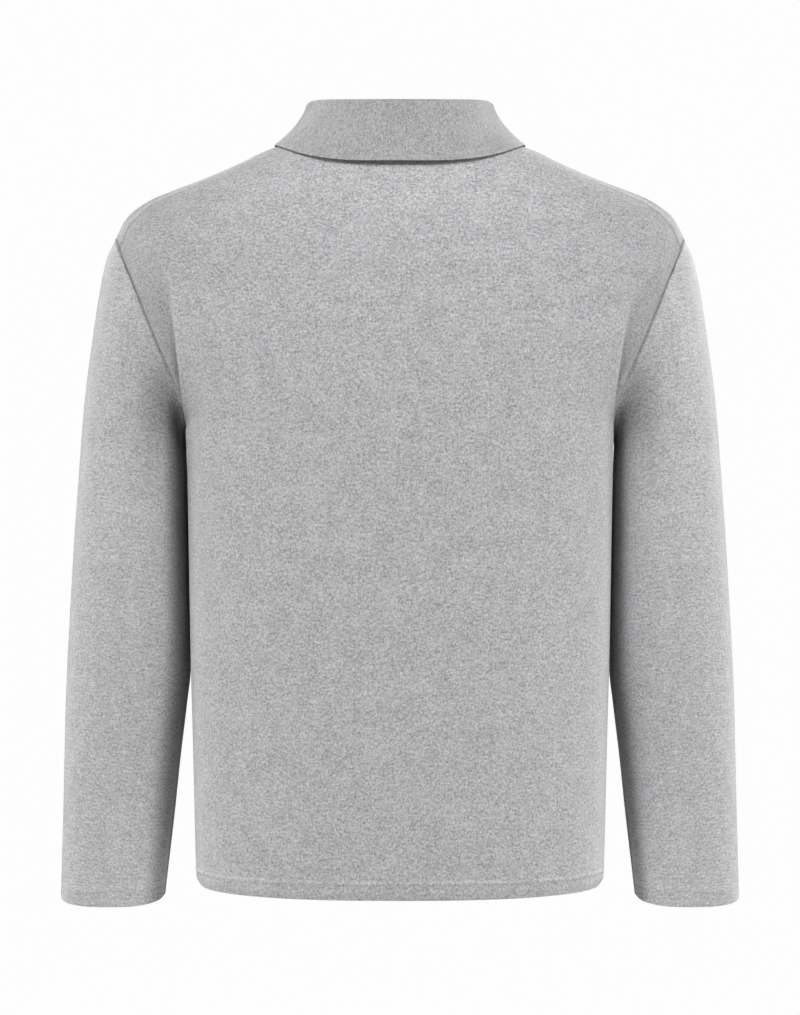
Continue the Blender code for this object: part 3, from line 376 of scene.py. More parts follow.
# ------------------------------------------------------------------ the body's form
@dataclass(frozen=True)
class BodyForm:
    """The body's outer surface, from the hem to the neckline and the armholes."""

    neck_rounding: float = 2.1
    shoulder_rounding: float = 2.5
    seam_setback_at_tip: float = 20.0
    back_armhole_end: float = 0.968
    neck_back_depth: float = 68.0
    neck_front_depth: float = 80.0
    neck_back_height: float = -9.0
    neck_front_height: float = -76.0
    neck_back_level: float = 2.6
    neck_front_level: float = 1.5
    smoothing: float = 0.05
    smoothing_reach: float = 0.16
    smoothing_weights: tuple = ((-1.0, 0.12), (-0.5, 0.23), (0.0, 0.30), (0.5, 0.23), (1.0, 0.12))
    chest_height: float = -330.0
    chest_squareness: float = 2.45

    @property
    def neck_share(self) -> float:
        """The share of the half width where the shoulder meets the neck."""
        return NECK_HALF_WIDTH / SHOULDER_TIP_OUT

    def bowed(self, share: np.ndarray, squareness: np.ndarray) -> np.ndarray:
        """How deep a rounded section is at a share of its half width."""
        return np.maximum(0.0, 1.0 - np.abs(share) ** squareness) ** (1.0 / squareness)

    def low_points(self, share: np.ndarray, height: np.ndarray, face: Face) -> np.ndarray:
        """Points of the body below the armholes.

        Args:
            share: shares of the half width, with their side's sign.
            height: heights of the points.
            face: back or front.

        Returns:
            Points, in the arrays' shape by 3.
        """
        share, height = np.broadcast_arrays(share, height)
        bow = self.bowed(share, BODY_LEVELS.read("squareness", height))
        return np.stack([share * BODY_LEVELS.read("half_width", height),
                         face.value * BODY_LEVELS.read(face.depth, height) * bow, height], axis=-1)

    def along_shoulder(self, share: np.ndarray) -> np.ndarray:
        """0 at the neck point and 1 at the shoulder's tip."""
        return (np.abs(share) - self.neck_share) / (1.0 - self.neck_share)

    def rise_and_depth(self, angle: np.ndarray, share: np.ndarray) -> tuple:
        """Shares of the height and of the depth at an angle up the rounded shoulder."""
        rounding = (self.neck_rounding + (self.shoulder_rounding - self.neck_rounding)
                    * smooth_step(self.along_shoulder(share)))
        return (np.sin(angle) ** (2.0 / rounding),
                np.maximum(0.0, np.cos(angle)) ** (2.0 / rounding))

    def high_points(self, share: np.ndarray, angle: np.ndarray, face: Face,
                    ridge: np.ndarray) -> np.ndarray:
        """Points of the body above the underarm.

        Args:
            share: shares of the half width, with their side's sign.
            angle: angles up to the shoulder's ridge.
            face: back or front.
            ridge: the heights that the columns aim for.

        Returns:
            Points, in the arrays' shape by 3.
        """
        share, angle, ridge = np.broadcast_arrays(share, angle, ridge)
        rise, depth_share = self.rise_and_depth(angle, share)
        out, seam_depth, squareness = (ARMHOLE_LEVELS.read(name, rise)
                                       for name in ("out", face.depth, "squareness"))
        centre_depth = BODY_LEVELS.column(face.depth)[-1] * depth_share
        flat = centre_depth < 1e-6
        edge = np.where(flat, 0.0,
                        np.minimum(seam_depth / np.where(flat, 1.0, centre_depth), 0.999))
        virtual_out = out / (1.0 - edge ** squareness) ** (1.0 / squareness)
        depth = centre_depth * self.bowed(share * out / virtual_out, squareness)
        return np.stack([share * out, face.value * depth,
                         UNDERARM_HEIGHT + (ridge - UNDERARM_HEIGHT) * rise], axis=-1)

    def neck_depth(self, share: np.ndarray, face: Face) -> np.ndarray:
        """How deep the neckline lies."""
        across = np.minimum(np.abs(share) / self.neck_share, 1.0)
        deepest = self.neck_back_depth if face is Face.BACK else self.neck_front_depth
        return deepest * np.sqrt(np.maximum(0.0, 1.0 - across ** 2))

    def neck_height(self, share: np.ndarray, face: Face) -> np.ndarray:
        """How high the neckline lies."""
        across = np.minimum(np.abs(share) / self.neck_share, 1.0)
        if face is Face.BACK:
            return (self.neck_back_height + (NECK_SIDE_HEIGHT - self.neck_back_height)
                    * across ** self.neck_back_level)
        forward = np.sqrt(np.maximum(0.0, 1.0 - across ** 2))
        return (NECK_SIDE_HEIGHT + (self.neck_front_height - NECK_SIDE_HEIGHT)
                * forward ** self.neck_front_level)

    def closing_angle(self, share: np.ndarray, face: Face) -> np.ndarray:
        """The angles in radians at which columns end, at the neckline or the shoulder seam."""
        share = np.abs(np.asarray(share, dtype=float))
        turn = (np.arcsin(np.minimum(share / self.neck_share, 1.0))
                + np.maximum(self.along_shoulder(share), 0.0))
        return np.interp(turn, *self.closing_stations(face))

    @lru_cache(maxsize=None)
    def closing_stations(self, face: Face) -> tuple:
        """Turns from the centre over the neck point to the tip, and the closing angles there.

        Args:
            face: back or front.

        Returns:
            The turns and the angles in radians.
        """
        round_neck = np.linspace(0.0, QUARTER_TURN, ANGLE_STATIONS)
        along = np.linspace(0.0, 1.0, ANGLE_STATIONS)[1:]
        share = np.concatenate([self.neck_share * np.sin(round_neck),
                                self.neck_share + (1.0 - self.neck_share) * along])
        setback = self.seam_setback_at_tip * smooth_step(self.along_shoulder(share))
        target = np.where(share < self.neck_share - NEAR, self.neck_depth(share, face), setback)
        low, high = np.full(share.shape, 0.05), np.full(share.shape, QUARTER_TURN)
        for _ in range(HALVINGS):
            middle = 0.5 * (low + high)
            deeper = np.abs(self.high_points(share, middle, face, 0.0)[..., 1]) > target
            low, high = np.where(deeper, middle, low), np.where(deeper, high, middle)
        angle = np.where(target < 1e-6, QUARTER_TURN, 0.5 * (low + high))
        if face is Face.BACK:
            angle[-1] = math.asin(self.back_armhole_end ** (self.shoulder_rounding / 2.0))
        return np.concatenate([round_neck, QUARTER_TURN + along]), angle

    def exact_ridge(self, share: np.ndarray, face: Face) -> np.ndarray:
        """The heights that columns aim for to end exactly on the ridge or the neckline."""
        rise, _ = self.rise_and_depth(self.closing_angle(share, face), share)
        to_neck = UNDERARM_HEIGHT + (self.neck_height(share, face) - UNDERARM_HEIGHT) / rise
        return np.where(share >= self.neck_share - NEAR,
                        RIDGE.read("height", share * SHOULDER_TIP_OUT), to_neck)

    def column_ridge(self, share: np.ndarray, face: Face) -> np.ndarray:
        """The heights that columns aim for, averaged about the neck point."""
        share = np.abs(np.asarray(share, dtype=float))
        near = np.maximum(0.0, 1.0 - np.abs(share - self.neck_share) / self.smoothing_reach)
        reach = self.smoothing * smooth_step(near)
        return sum(weight * self.exact_ridge(share + offset * reach, face)
                   for offset, weight in self.smoothing_weights)

    def back_points(self, share: np.ndarray, climb: np.ndarray) -> np.ndarray:
        """Points of the upper back; climb runs from 0 at the underarm to 1 at the seam."""
        angle = climb * self.closing_angle(share, Face.BACK)
        return self.high_points(share, angle, Face.BACK, self.column_ridge(share, Face.BACK))

    def front_points(self, share: np.ndarray, climb: np.ndarray) -> np.ndarray:
        """Points of the upper front, which carries on over the ridge to the shoulder seam.

        Args:
            share: shares of the half width, with their side's sign.
            climb: 0 at the underarm to 1 at the neckline or the shoulder seam.

        Returns:
            Points, in the arrays' shape by 3.
        """
        share, climb = np.broadcast_arrays(np.asarray(share, dtype=float), climb)
        ridge = self.column_ridge(share, Face.FRONT)
        to_neck = self.high_points(share, climb * self.closing_angle(share, Face.FRONT),
                                   Face.FRONT, ridge)
        angle = climb * (math.pi - self.closing_angle(share, Face.BACK))
        before = self.high_points(share, np.minimum(angle, QUARTER_TURN), Face.FRONT, ridge)
        behind = self.high_points(share, math.pi - np.maximum(angle, QUARTER_TURN), Face.BACK,
                                  self.column_ridge(share, Face.BACK))
        over = np.where((angle > QUARTER_TURN)[..., None], behind, before)
        return np.where((np.abs(share) < self.neck_share - NEAR)[..., None], to_neck, over)

    def armhole_points(self, rise: np.ndarray, face: Face) -> np.ndarray:
        """Points of the right armhole's seam."""
        height = UNDERARM_HEIGHT + (SHOULDER_TIP_HEIGHT - UNDERARM_HEIGHT) * rise
        return np.stack([ARMHOLE_LEVELS.read("out", rise),
                         face.value * ARMHOLE_LEVELS.read(face.depth, rise), height], axis=-1)

    def climb_of_rise(self, rise: np.ndarray, face: Face) -> np.ndarray:
        """The climb of the row that meets the armhole at a share of its height."""
        last = float(self.closing_angle(np.array(1.0), Face.BACK))
        whole = last if face is Face.BACK else math.pi - last
        return np.arcsin(rise ** (self.shoulder_rounding / 2.0)) / whole

    def arc_of_share(self, face: Face) -> tuple:
        """Shares of the half width and the distances round the chest that they lie at."""
        shares = np.sin(np.linspace(0.0, QUARTER_TURN, 1500)) ** (2.0 / self.chest_squareness)
        points = self.low_points(shares, self.chest_height, face)
        return shares, run_along(points[None], 1)[0]


# ------------------------------------------------------------------ cloth walls
BORDERS = {"first_row": (0, 0, 1), "last_row": (0, -1, -2),
           "first_column": (1, 0, 1), "last_column": (1, -1, -2)}


def linked_piece(name: str, points: np.ndarray, faces: list) -> bpy.types.Object:
    """A smooth piece from points in millimetres and their faces, linked to the scene."""
    mesh = bpy.data.meshes.new(name)
    mesh.from_pydata((points.reshape(-1, 3) * MM).tolist(), [], faces)
    mesh.shade_smooth()
    piece = bpy.data.objects.new(name, mesh)
    bpy.context.scene.collection.objects.link(piece)
    return piece


@dataclass
class ClothWall:
    """A closed knitted wall built on a grid of points of its outer face.

    `knit` holds each point's place in the fabric: across the wales, along the wales.
    `tone` lightens or darkens the yarn there: the seams' dark lines, and painted light and shade.
    A further painted shade darkens the inner face and the edges besides. `free` names the borders
    with a rounded edge.
    """

    name: str
    grid: np.ndarray
    normals: np.ndarray
    knit: np.ndarray
    tone: np.ndarray
    free: tuple
    thickness: float = 2.0
    closed: bool = False
    painted_under_shade: object = 0.0
    edge_rounding: float = 0.30

    def border_loops(self) -> list:
        """The wall's border loops, each a list of (row, column, border's name)."""
        rows, columns = self.grid.shape[:2]
        first = [(0, step, "first_row") for step in range(columns)]
        last = [(rows - 1, step, "last_row") for step in range(columns)]
        if self.closed:
            return [first, last]
        return [first + [(row, columns - 1, "last_column") for row in range(1, rows - 1)]
                + last[::-1] + [(row, 0, "first_column") for row in range(rows - 2, 0, -1)]]

    def inward_step(self, row: int, step: int, border: str) -> np.ndarray:
        """The unit way from a border point into the wall."""
        axis, place, inner = BORDERS[border]
        beside = (row, step + inner - place) if axis else (row + inner - place, step)
        return unit(self.grid[beside] - self.grid[row, step])

    def build(self) -> bpy.types.Object:
        """Make the wall's mesh with rounded free edges.

        Returns:
            The new object, linked to the scene.
        """
        rows, columns = self.grid.shape[:2]
        inside = rows * columns
        outer, inner = self.grid.copy(), self.grid - self.normals * self.thickness
        edge_points, sources, edge_faces = [], [], []
        for loop in self.border_loops():
            start = 2 * inside + len(edge_points)
            for row, step, border in loop:
                soft = self.edge_rounding * self.thickness if border in self.free else 0.0
                middle = 0.5 * (outer[row, step] + inner[row, step])
                edge_points.append(middle - self.inward_step(row, step, border) * soft)
                sources.append(row * columns + step)
                outer[row, step] -= self.normals[row, step] * 0.7 * soft
                inner[row, step] += self.normals[row, step] * 0.7 * soft
            count = len(loop)
            for index in range(count):
                after = (index + 1) % count
                near = loop[index][0] * columns + loop[index][1]
                far = loop[after][0] * columns + loop[after][1]
                edge_faces.append((near, far, start + after, start + index))
                edge_faces.append((start + index, start + after, inside + far, inside + near))
        index = np.arange(inside).reshape(rows, columns)
        right = np.roll(index, -1, axis=1) if self.closed else index[:, 1:]
        left = index if self.closed else index[:, :-1]
        quads = np.stack([left[:-1], right[:-1], right[1:], left[1:]], axis=-1).reshape(-1, 4)
        faces = np.concatenate([quads, quads[:, ::-1] + inside, np.array(edge_faces)])
        points = np.concatenate([outer.reshape(-1, 3), inner.reshape(-1, 3), edge_points])
        piece = linked_piece(self.name, points, faces.tolist())
        shape = bmesh.new()
        shape.from_mesh(piece.data)
        bmesh.ops.recalc_face_normals(shape, faces=shape.faces)
        shape.to_mesh(piece.data)
        shape.free()
        self.write_places(piece.data, sources, inside)
        return piece

    def write_places(self, mesh: bpy.types.Mesh, sources: list, inside: int) -> None:
        """Store each point's place in the fabric and its tone on the mesh.

        Args:
            mesh: the wall's mesh.
            sources: the outer points that the edge's points belong to.
            inside: how many points the outer face has.
        """
        order = np.concatenate([np.arange(inside), np.arange(inside), sources]).astype(int)
        places = np.zeros((len(order), 3), dtype=np.float32)
        places[:, :2] = self.knit.reshape(-1, 2)[order]
        places[inside:2 * inside, 2] = 1.0
        mesh.attributes.new("knit", "FLOAT_VECTOR", "POINT").data.foreach_set(
            "vector", places.ravel())
        tones = self.tone.reshape(-1)[order]
        under = np.broadcast_to(self.painted_under_shade, self.tone.shape).reshape(-1)
        tones[inside:] += under[order[inside:]]
        mesh.attributes.new("tone", "FLOAT", "POINT").data.foreach_set(
            "value", tones.astype(np.float32))


def surface_normals(grid: np.ndarray, probe: tuple, axis: int, sign: float,
                    closed: bool = False) -> np.ndarray:
    """Unit normals at a grid's points, on the side that the probed one faces.

    Args:
        grid: points, rows by columns by 3.
        probe: row and column of the normal to go by.
        axis: the axis along which that normal is judged.
        sign: its sign along that axis.
        closed: True where the columns join round.

    Returns:
        Normals, in the grid's shape.
    """
    across = (np.roll(grid, -1, axis=1) - np.roll(grid, 1, axis=1)) if closed \
        else np.gradient(grid, axis=1)
    normals = unit(np.cross(across, np.gradient(grid, axis=0)))
    return normals * np.sign(normals[probe][axis] * sign)


# ------------------------------------------------------------------ finishes
class NodeBench:
    """Adds and joins the shader nodes of one material."""

    def __init__(self, name: str) -> None:
        """Start a material with one principled shader."""
        self.material = bpy.data.materials.new(name)
        self.material.use_nodes = True
        self.tree = self.material.node_tree
        self.inputs = self.tree.nodes["Principled BSDF"].inputs

    def node(self, kind: str, **settings: object) -> bpy.types.Node:
        """Add a shader node with the given properties."""
        made = self.tree.nodes.new("ShaderNode" + kind)
        for name, value in settings.items():
            setattr(made, name, value)
        return made

    def put(self, socket: bpy.types.NodeSocket, value: object) -> None:
        """Link a socket to another one, or set its value."""
        if isinstance(value, bpy.types.NodeSocket):
            self.tree.links.new(value, socket)
        else:
            socket.default_value = value

    def fed(self, made: bpy.types.Node, *values: Socket) -> bpy.types.NodeSocket:
        """Put values in a node's first inputs and give its first output."""
        for socket, value in zip(made.inputs, values):
            self.put(socket, value)
        return made.outputs[0]

    def math(self, operation: str, *values: Socket) -> bpy.types.NodeSocket:
        """The result of a math node."""
        return self.fed(self.node("Math", operation=operation), *values)

    def times(self, value: Socket, factor: Socket) -> bpy.types.NodeSocket:
        """A product."""
        return self.math("MULTIPLY", value, factor)

    def plus(self, value: Socket, other: Socket) -> bpy.types.NodeSocket:
        """A sum."""
        return self.math("ADD", value, other)

    def off_middle(self, value: Socket, middle: float = 0.5) -> bpy.types.NodeSocket:
        """How far a value lies from its middle, without a sign."""
        return self.math("ABSOLUTE", self.math("SUBTRACT", value, middle))

    def vector(self, across: Socket, along: Socket, out: Socket = 0.0) -> bpy.types.NodeSocket:
        """Three numbers joined in a vector."""
        return self.fed(self.node("CombineXYZ"), across, along, out)

    def noise(self, place: bpy.types.NodeSocket, scale: float, detail: float = 2.0,
              roughness: float = 0.5) -> bpy.types.NodeSocket:
        """A noise between 0 and 1 at a place."""
        made = self.node("TexNoise")
        for name, value in (("Vector", place), ("Scale", scale), ("Detail", detail),
                            ("Roughness", roughness)):
            self.put(made.inputs[name], value)
        return made.outputs[0]

    def spread(self, value: Socket, low: float, high: float, to_low: float,
               to_high: float) -> bpy.types.NodeSocket:
        """A range of a value mapped onto another one, held at its ends."""
        return self.fed(self.node("MapRange"), value, low, high, to_low, to_high)

    def two_tone(self, share: Socket, dark: tuple, light: tuple) -> bpy.types.NodeSocket:
        """A colour between two by a share."""
        made = self.node("Mix", data_type="RGBA")
        for socket, value in ((made.inputs["Factor"], share), (made.inputs[6], (*dark, 1.0)),
                              (made.inputs[7], (*light, 1.0))):
            self.put(socket, value)
        return made.outputs[2]

    def paint(self, colour: object, gain: Socket) -> None:
        """Set the base colour to a colour times a gain."""
        made = self.node("VectorMath", operation="SCALE")
        self.put(made.inputs[0], colour)
        self.put(made.inputs["Scale"], gain)
        self.put(self.inputs["Base Color"], made.outputs[0])

    def emboss(self, height: Socket, strength: float, depth: float) -> None:
        """Raise the surface by a height of the given depth in millimetres."""
        made = self.node("Bump")
        for name, value in (("Strength", strength), ("Distance", depth * MM), ("Height", height)):
            self.put(made.inputs[name], value)
        self.put(self.inputs["Normal"], made.outputs[0])


@dataclass(frozen=True)
class HeatherKnit:
    """A fine single knit of mixed light and dark grey fibres."""

    name: str
    light: tuple = (0.625, 0.625, 0.637)
    dark: tuple = (0.262, 0.262, 0.269)
    wale: float = 1.45
    course: float = 1.12
    relief: float = 0.22
    wale_strength: float = 0.62
    mottle: float = 1.26
    hollow: float = 0.83
    grain: tuple = (0.86, 0.82)
    slub: tuple = (0.32, 0.70)
    sheen: float = 0.80

    def material(self) -> bpy.types.Material:
        """Make the knit's material from the fabric's own coordinates.

        Returns:
            The material.
        """
        if self.name in bpy.data.materials:
            return bpy.data.materials[self.name]
        bench = NodeBench(self.name)
        place = bench.node("Attribute", attribute_name="knit")
        split = bench.node("SeparateXYZ")
        bench.put(split.inputs[0], place.outputs["Vector"])
        wale, course = split.outputs[0], split.outputs[1]
        stitch_across = bench.math("DIVIDE", wale, self.wale)
        leg_place = bench.times(bench.off_middle(bench.math("FRACT", stitch_across)), 2.0)
        leg = bench.math("SUBTRACT", 1.0, bench.off_middle(bench.times(leg_place, 2.0), 1.0))
        slanted = bench.plus(bench.math("DIVIDE", course, self.course),
                             bench.times(leg_place, 0.55))
        step = bench.off_middle(bench.math("FRACT", slanted))
        loop = bench.math("SUBTRACT", 1.0, bench.times(bench.math("POWER", step, 2.0), 2.6))
        stitch = bench.times(bench.math("POWER", leg, 0.6), loop)

        strand = bench.node("TexWhiteNoise", noise_dimensions="3D")
        bench.put(strand.inputs["Vector"], bench.vector(
            bench.math("FLOOR", bench.times(stitch_across, 2.0)), bench.math("FLOOR", slanted)))
        wide, tall = bench.times(wale, self.grain[0]), bench.times(course, self.grain[1])
        mottle = bench.noise(bench.vector(wide, tall), 0.62, 3.0, 0.62)
        slub = bench.noise(bench.vector(bench.times(wide, self.slub[0]),
                                        bench.times(tall, self.slub[1]), 7.0), 0.9, 2.0, 0.55)
        cloud = bench.noise(bench.vector(wale, bench.times(course, 0.8), 19.0), 0.06, 3.0, 0.6)
        hair = bench.noise(bench.vector(bench.times(wale, 2.6), course, 31.0), 0.9, 2.0, 0.7)
        mix = 0.52
        for value, weight in ((strand.outputs["Value"], 0.46), (mottle, 1.5), (slub, 0.75),
                              (cloud, 0.34), (hair, 0.55)):
            mix = bench.plus(mix, bench.times(bench.math("SUBTRACT", value, 0.5),
                                              weight * self.mottle))
        tone = bench.node("Attribute", attribute_name="tone")
        lit = bench.plus(1.0, tone.outputs["Fac"])
        # The base colour is the heather mix times the tone, which paints light and shade, and times
        # the stitch's gain, with the stitches' hollows darker as painted shade.
        bench.paint(bench.two_tone(bench.spread(mix, 0.0, 1.0, 0.0, 1.0), self.dark, self.light),
                    bench.times(lit, bench.spread(stitch, 0.0, 0.55, self.hollow, 1.04)))

        fuzz = bench.noise(bench.vector(wale, course, 3.0), 3.2, 3.0, 0.7)
        bench.emboss(bench.plus(stitch, bench.times(fuzz, 0.9)), self.wale_strength, self.relief)
        bench.put(bench.inputs["Roughness"], bench.spread(mottle, 0.3, 0.7, 0.97, 0.88))
        bench.inputs["Specular IOR Level"].default_value = 0.18
        # Where the tone paints shade, the sheen is cut down too, so that the painted shade stays
        # dark at grazing angles.
        sheen_cut_by_painted_shade = bench.math("POWER", bench.math("MINIMUM", lit, 1.0), 2.5)
        bench.put(bench.inputs["Sheen Weight"], bench.times(sheen_cut_by_painted_shade, self.sheen))
        bench.inputs["Sheen Roughness"].default_value = 0.35
        return bench.material


@dataclass(frozen=True)
class ButtonHorn:
    """A moulded grey button with a faint horn-like grain and a soft gloss."""

    name: str = "button horn grey"
    dark: tuple = (0.075, 0.075, 0.080)
    light: tuple = (0.235, 0.235, 0.245)

    def material(self) -> bpy.types.Material:
        """Make the button's material."""
        bench = NodeBench(self.name)
        place = bench.node("TexCoord").outputs["Object"]
        stretch = bench.node("Mapping")
        bench.put(stretch.inputs["Vector"], place)
        stretch.inputs["Scale"].default_value = (90.0, 260.0, 90.0)
        grain = bench.noise(stretch.outputs[0], 1.0, 4.0, 0.6)
        bench.put(bench.inputs["Base Color"], bench.two_tone(
            bench.spread(grain, 0.32, 0.68, 0.0, 1.0), self.dark, self.light))
        bench.put(bench.inputs["Roughness"], bench.spread(grain, 0.3, 0.7, 0.27, 0.40))
        bench.emboss(bench.noise(place, 2600.0), 0.12, 0.05)
        bench.inputs["Coat Weight"].default_value = 0.25
        return bench.material


@dataclass(frozen=True)
class SewingThread:
    """Matte grey sewing thread with a fine twist."""

    name: str = "sewing thread grey"
    colour: tuple = (0.30, 0.30, 0.31)

    def material(self) -> bpy.types.Material:
        """Make the thread's material."""
        bench = NodeBench(self.name)
        twist = bench.node("TexWave", wave_type="BANDS", bands_direction="DIAGONAL")
        for name, value in (("Vector", bench.node("TexCoord").outputs["Object"]),
                            ("Scale", 900.0), ("Distortion", 1.0)):
            bench.put(twist.inputs[name], value)
        bench.paint(self.colour, bench.spread(twist.outputs["Fac"], 0.0, 1.0, 0.75, 1.1))
        bench.inputs["Roughness"].default_value = 0.8
        bench.emboss(twist.outputs["Fac"], 0.4, 0.06)
        return bench.material


# ------------------------------------------------------------------ shared relief
# A look is a pair of arrays: how far the cloth stands out, and how much lighter or darker its
# colour is painted, mostly as painted light and shade.
@dataclass(frozen=True)
class SeamLook:
    """How a seam shows: the depth and width of its groove and the ridge beside it."""

    groove: float = 0.60
    groove_width: float = 0.62
    ridge: float = 0.35
    ridge_place: float = 3.4
    ridge_width: float = 1.9
    dark: float = -0.26
    gap: float = 0.15

    def look(self, distance: np.ndarray) -> np.ndarray:
        """The cloth's look at a distance from the seam."""
        return np.stack([self.ridge * hump(distance - self.ridge_place, self.ridge_width)
                         - self.groove * hump(distance, self.groove_width),
                         self.dark * hump(distance, self.groove_width * 0.8)])


ARMHOLE_SEAM = SeamLook()
SIDE_SEAM = SeamLook(groove=0.5, ridge=0.2, dark=-0.12)
SHOULDER_SEAM = SeamLook(groove=0.6, groove_width=1.0, ridge=0.25, dark=-0.22)
BAND_GAP = 0.02
HEM_LINE_HEIGHT = 15.3
HIGHLIGHT_WIDTH = 3.6
STRIP_LINE = 5.0
TIP_FADE = 12.0
TIP_REACH = 24.0


class Patch(NamedTuple):
    """A soft round patch of the cloth, by its place across and in height, and its reach."""

    across: float
    height: float
    half_width: float
    half_height: float

    def share(self, across: np.ndarray, height: np.ndarray) -> np.ndarray:
        """1 in the patch's middle, fading out round it."""
        return hump(across - self.across, self.half_width) * hump(height - self.height,
                                                                  self.half_height)


BELOW_COLLAR = Patch(0.0, -36.0, 150.0, 44.0)
SHOULDER_END = Patch(225.0, -90.0, 70.0, 60.0)
ARMPIT = Patch(207.0, -236.0, 19.0, 50.0)
ARMPIT_CORNER = Patch(197.0, -238.0, 9.0, 26.0)


def hem_look(from_edge: np.ndarray, raised: float = 1.0, lit: float = 1.0) -> np.ndarray:
    """The turned hem: a fine raised line with a painted highlight, and a shallow groove under it
    with painted shade.
    """
    above = from_edge - HEM_LINE_HEIGHT
    return np.stack([raised * (0.55 * hump(above, 1.3) - 0.38 * hump(above + 2.6, 1.3)),
                     lit * (0.19 * hump(above, 1.3) - 0.08 * hump(above + 2.8, 1.4))])


def shoulder_line_and_painted_highlight(grid: np.ndarray) -> np.ndarray:
    """The look just behind the shoulder seam: a painted highlight on the strip along the shoulder's
    top, which ends in a faint grooved line with painted shade in it.

    Args:
        grid: the back's points, with the shoulder seam as the last row.

    Returns:
        The strip's look.
    """
    top = grid[-1]
    slope = np.gradient(top[:, 2]) / np.gradient(top[:, 0])
    inside = (top[:, 2] - grid[..., 2]) / np.sqrt(1.0 + slope ** 2)
    outward = smooth_step((np.abs(grid[..., 0]) - 120.0) / 100.0)
    line = hump(inside - STRIP_LINE, 0.9)
    strip = 1.0 - smooth_step((inside - HIGHLIGHT_WIDTH) / 1.6)
    return outward * np.stack([-0.5 * line, 0.13 * strip - 0.20 * line])


def tip_distance(grid: np.ndarray) -> np.ndarray:
    """Distances from the shoulder tip, where the rows meet."""
    return np.sqrt((np.abs(grid[..., 0]) - SHOULDER_TIP_OUT) ** 2 + grid[..., 1] ** 2
                   + (grid[..., 2] - SHOULDER_TIP_HEIGHT) ** 2)


def off_the_tip(look: np.ndarray, grid: np.ndarray) -> np.ndarray:
    """A look that fades out at the shoulder tip."""
    return look * smooth_step(tip_distance(grid) / TIP_FADE)


def steadied(normals: np.ndarray, grid: np.ndarray) -> np.ndarray:
    """The normals, plain ones round the tip where the rows meet, short where the wall thins."""
    side = np.sign(grid[..., :1])
    mirror = np.concatenate([side, np.ones_like(side), np.ones_like(side)], axis=-1)
    below_tip = mirror * np.array([SHOULDER_TIP_OUT - 27.9, 0.0, SHOULDER_TIP_HEIGHT - 35.1])
    away = tip_distance(grid)[..., None]
    share = 1.0 - smooth_step((away - 10.0) / TIP_REACH)
    mixed = unit(normals * (1.0 - share) + share * unit(grid - below_tip))
    return mixed * (0.15 + 0.85 * smooth_step(away / TIP_REACH))


def softened_tip(grid: np.ndarray) -> np.ndarray:
    """The grid with the shoulder tip drawn in a little, so that it doesn't stand out."""
    pull = hump(tip_distance(grid), 14.0)
    return grid - np.stack([np.sign(grid[..., 0]) * pull, 0.0 * pull, 0.8 * pull], axis=-1)


def painted_neck_light_and_dark_shoulders(grid: np.ndarray) -> np.ndarray:
    """Painted light below the collar, and the colour made darker out at the shoulders' ends."""
    out, height = np.abs(grid[..., 0]), grid[..., 2]
    return 0.10 * BELOW_COLLAR.share(out, height) - 0.07 * SHOULDER_END.share(out, height)


def painted_side_light(grid: np.ndarray) -> np.ndarray:
    """Painted light along the body's sides, below the shoulder blades, lightening the colour
    towards the side edges.
    """
    out, height = np.abs(grid[..., 0]), grid[..., 2]
    strength = 0.64 - 0.34 * smooth_step((-390.0 - height) / 100.0)
    return (strength * np.exp((out - out.max(axis=1, keepdims=True)) / 7.0)
            * smooth_step((-205.0 - height) / 45.0))


def fold_look(grid: np.ndarray, fold: Table) -> np.ndarray:
    """The look of the fold beside an armhole, on rows that run out to it, with a painted highlight
    on its crest and painted shade in its trough.

    Args:
        grid: points, with rows that start at the middle and end at the armhole.
        fold: the fold's stations.

    Returns:
        The fold's look.
    """
    run = run_along(grid, 1)
    height = grid[..., 2]
    crest, trough, width = (fold.read(name, height) for name in ("crest", "trough", "width"))
    past = np.abs(grid[..., 0]) - fold.read("out", height)
    start = np.empty((len(grid), 1))
    for row, gone in enumerate(past):
        crossing = np.flatnonzero(gone > 0.0)
        if len(crossing) and crossing[0]:
            pair = slice(crossing[0] - 1, crossing[0] + 1)
            start[row] = np.interp(0.0, gone[pair], run[row, pair])
        else:
            start[row] = run[row, 0 if len(crossing) else -1]
    beyond = run - start
    reach = np.maximum(beyond, 0.0) / width
    well = trough * (reach * np.exp(1.0 - reach)) ** 1.7
    # relief, then a painted highlight on the crest and painted shade in the trough
    return np.stack([crest * hump(beyond, 5.0) - well, 0.07 * crest * hump(beyond, 3.4)
                     - 0.034 * well]) * smooth_step((run[:, -1:] - run) / 6.0)


def swell_relief(grid: np.ndarray, swells: Table) -> np.ndarray:
    """The sum of a panel's broad soft rises and hollows."""
    return sum(rise * Patch(*place).share(grid[..., 0], grid[..., 2])
               for _, *place, rise in swells.rows)


def pulled_from_seams(grid: np.ndarray, **gaps: float) -> np.ndarray:
    """The grid with each named border moved inwards, to leave its seam's gap."""
    for border, gap in gaps.items():
        axis, place, inner = BORDERS[border]
        grid = grid.copy()
        lines = np.moveaxis(grid, axis, 0)
        lines[place] += gap * unit(lines[inner] - lines[place])
    return grid


def dress(piece: bpy.types.Object, material: bpy.types.Material, node: str) -> None:
    """Give a piece its material, hang it on the root and hide the solid of the node it stands for.
    """
    piece.data.materials.append(material)
    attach(piece, "root")
    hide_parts(node)
    LOG.info("%s: %d points, %d faces", piece.name, len(piece.data.vertices),
             len(piece.data.polygons))


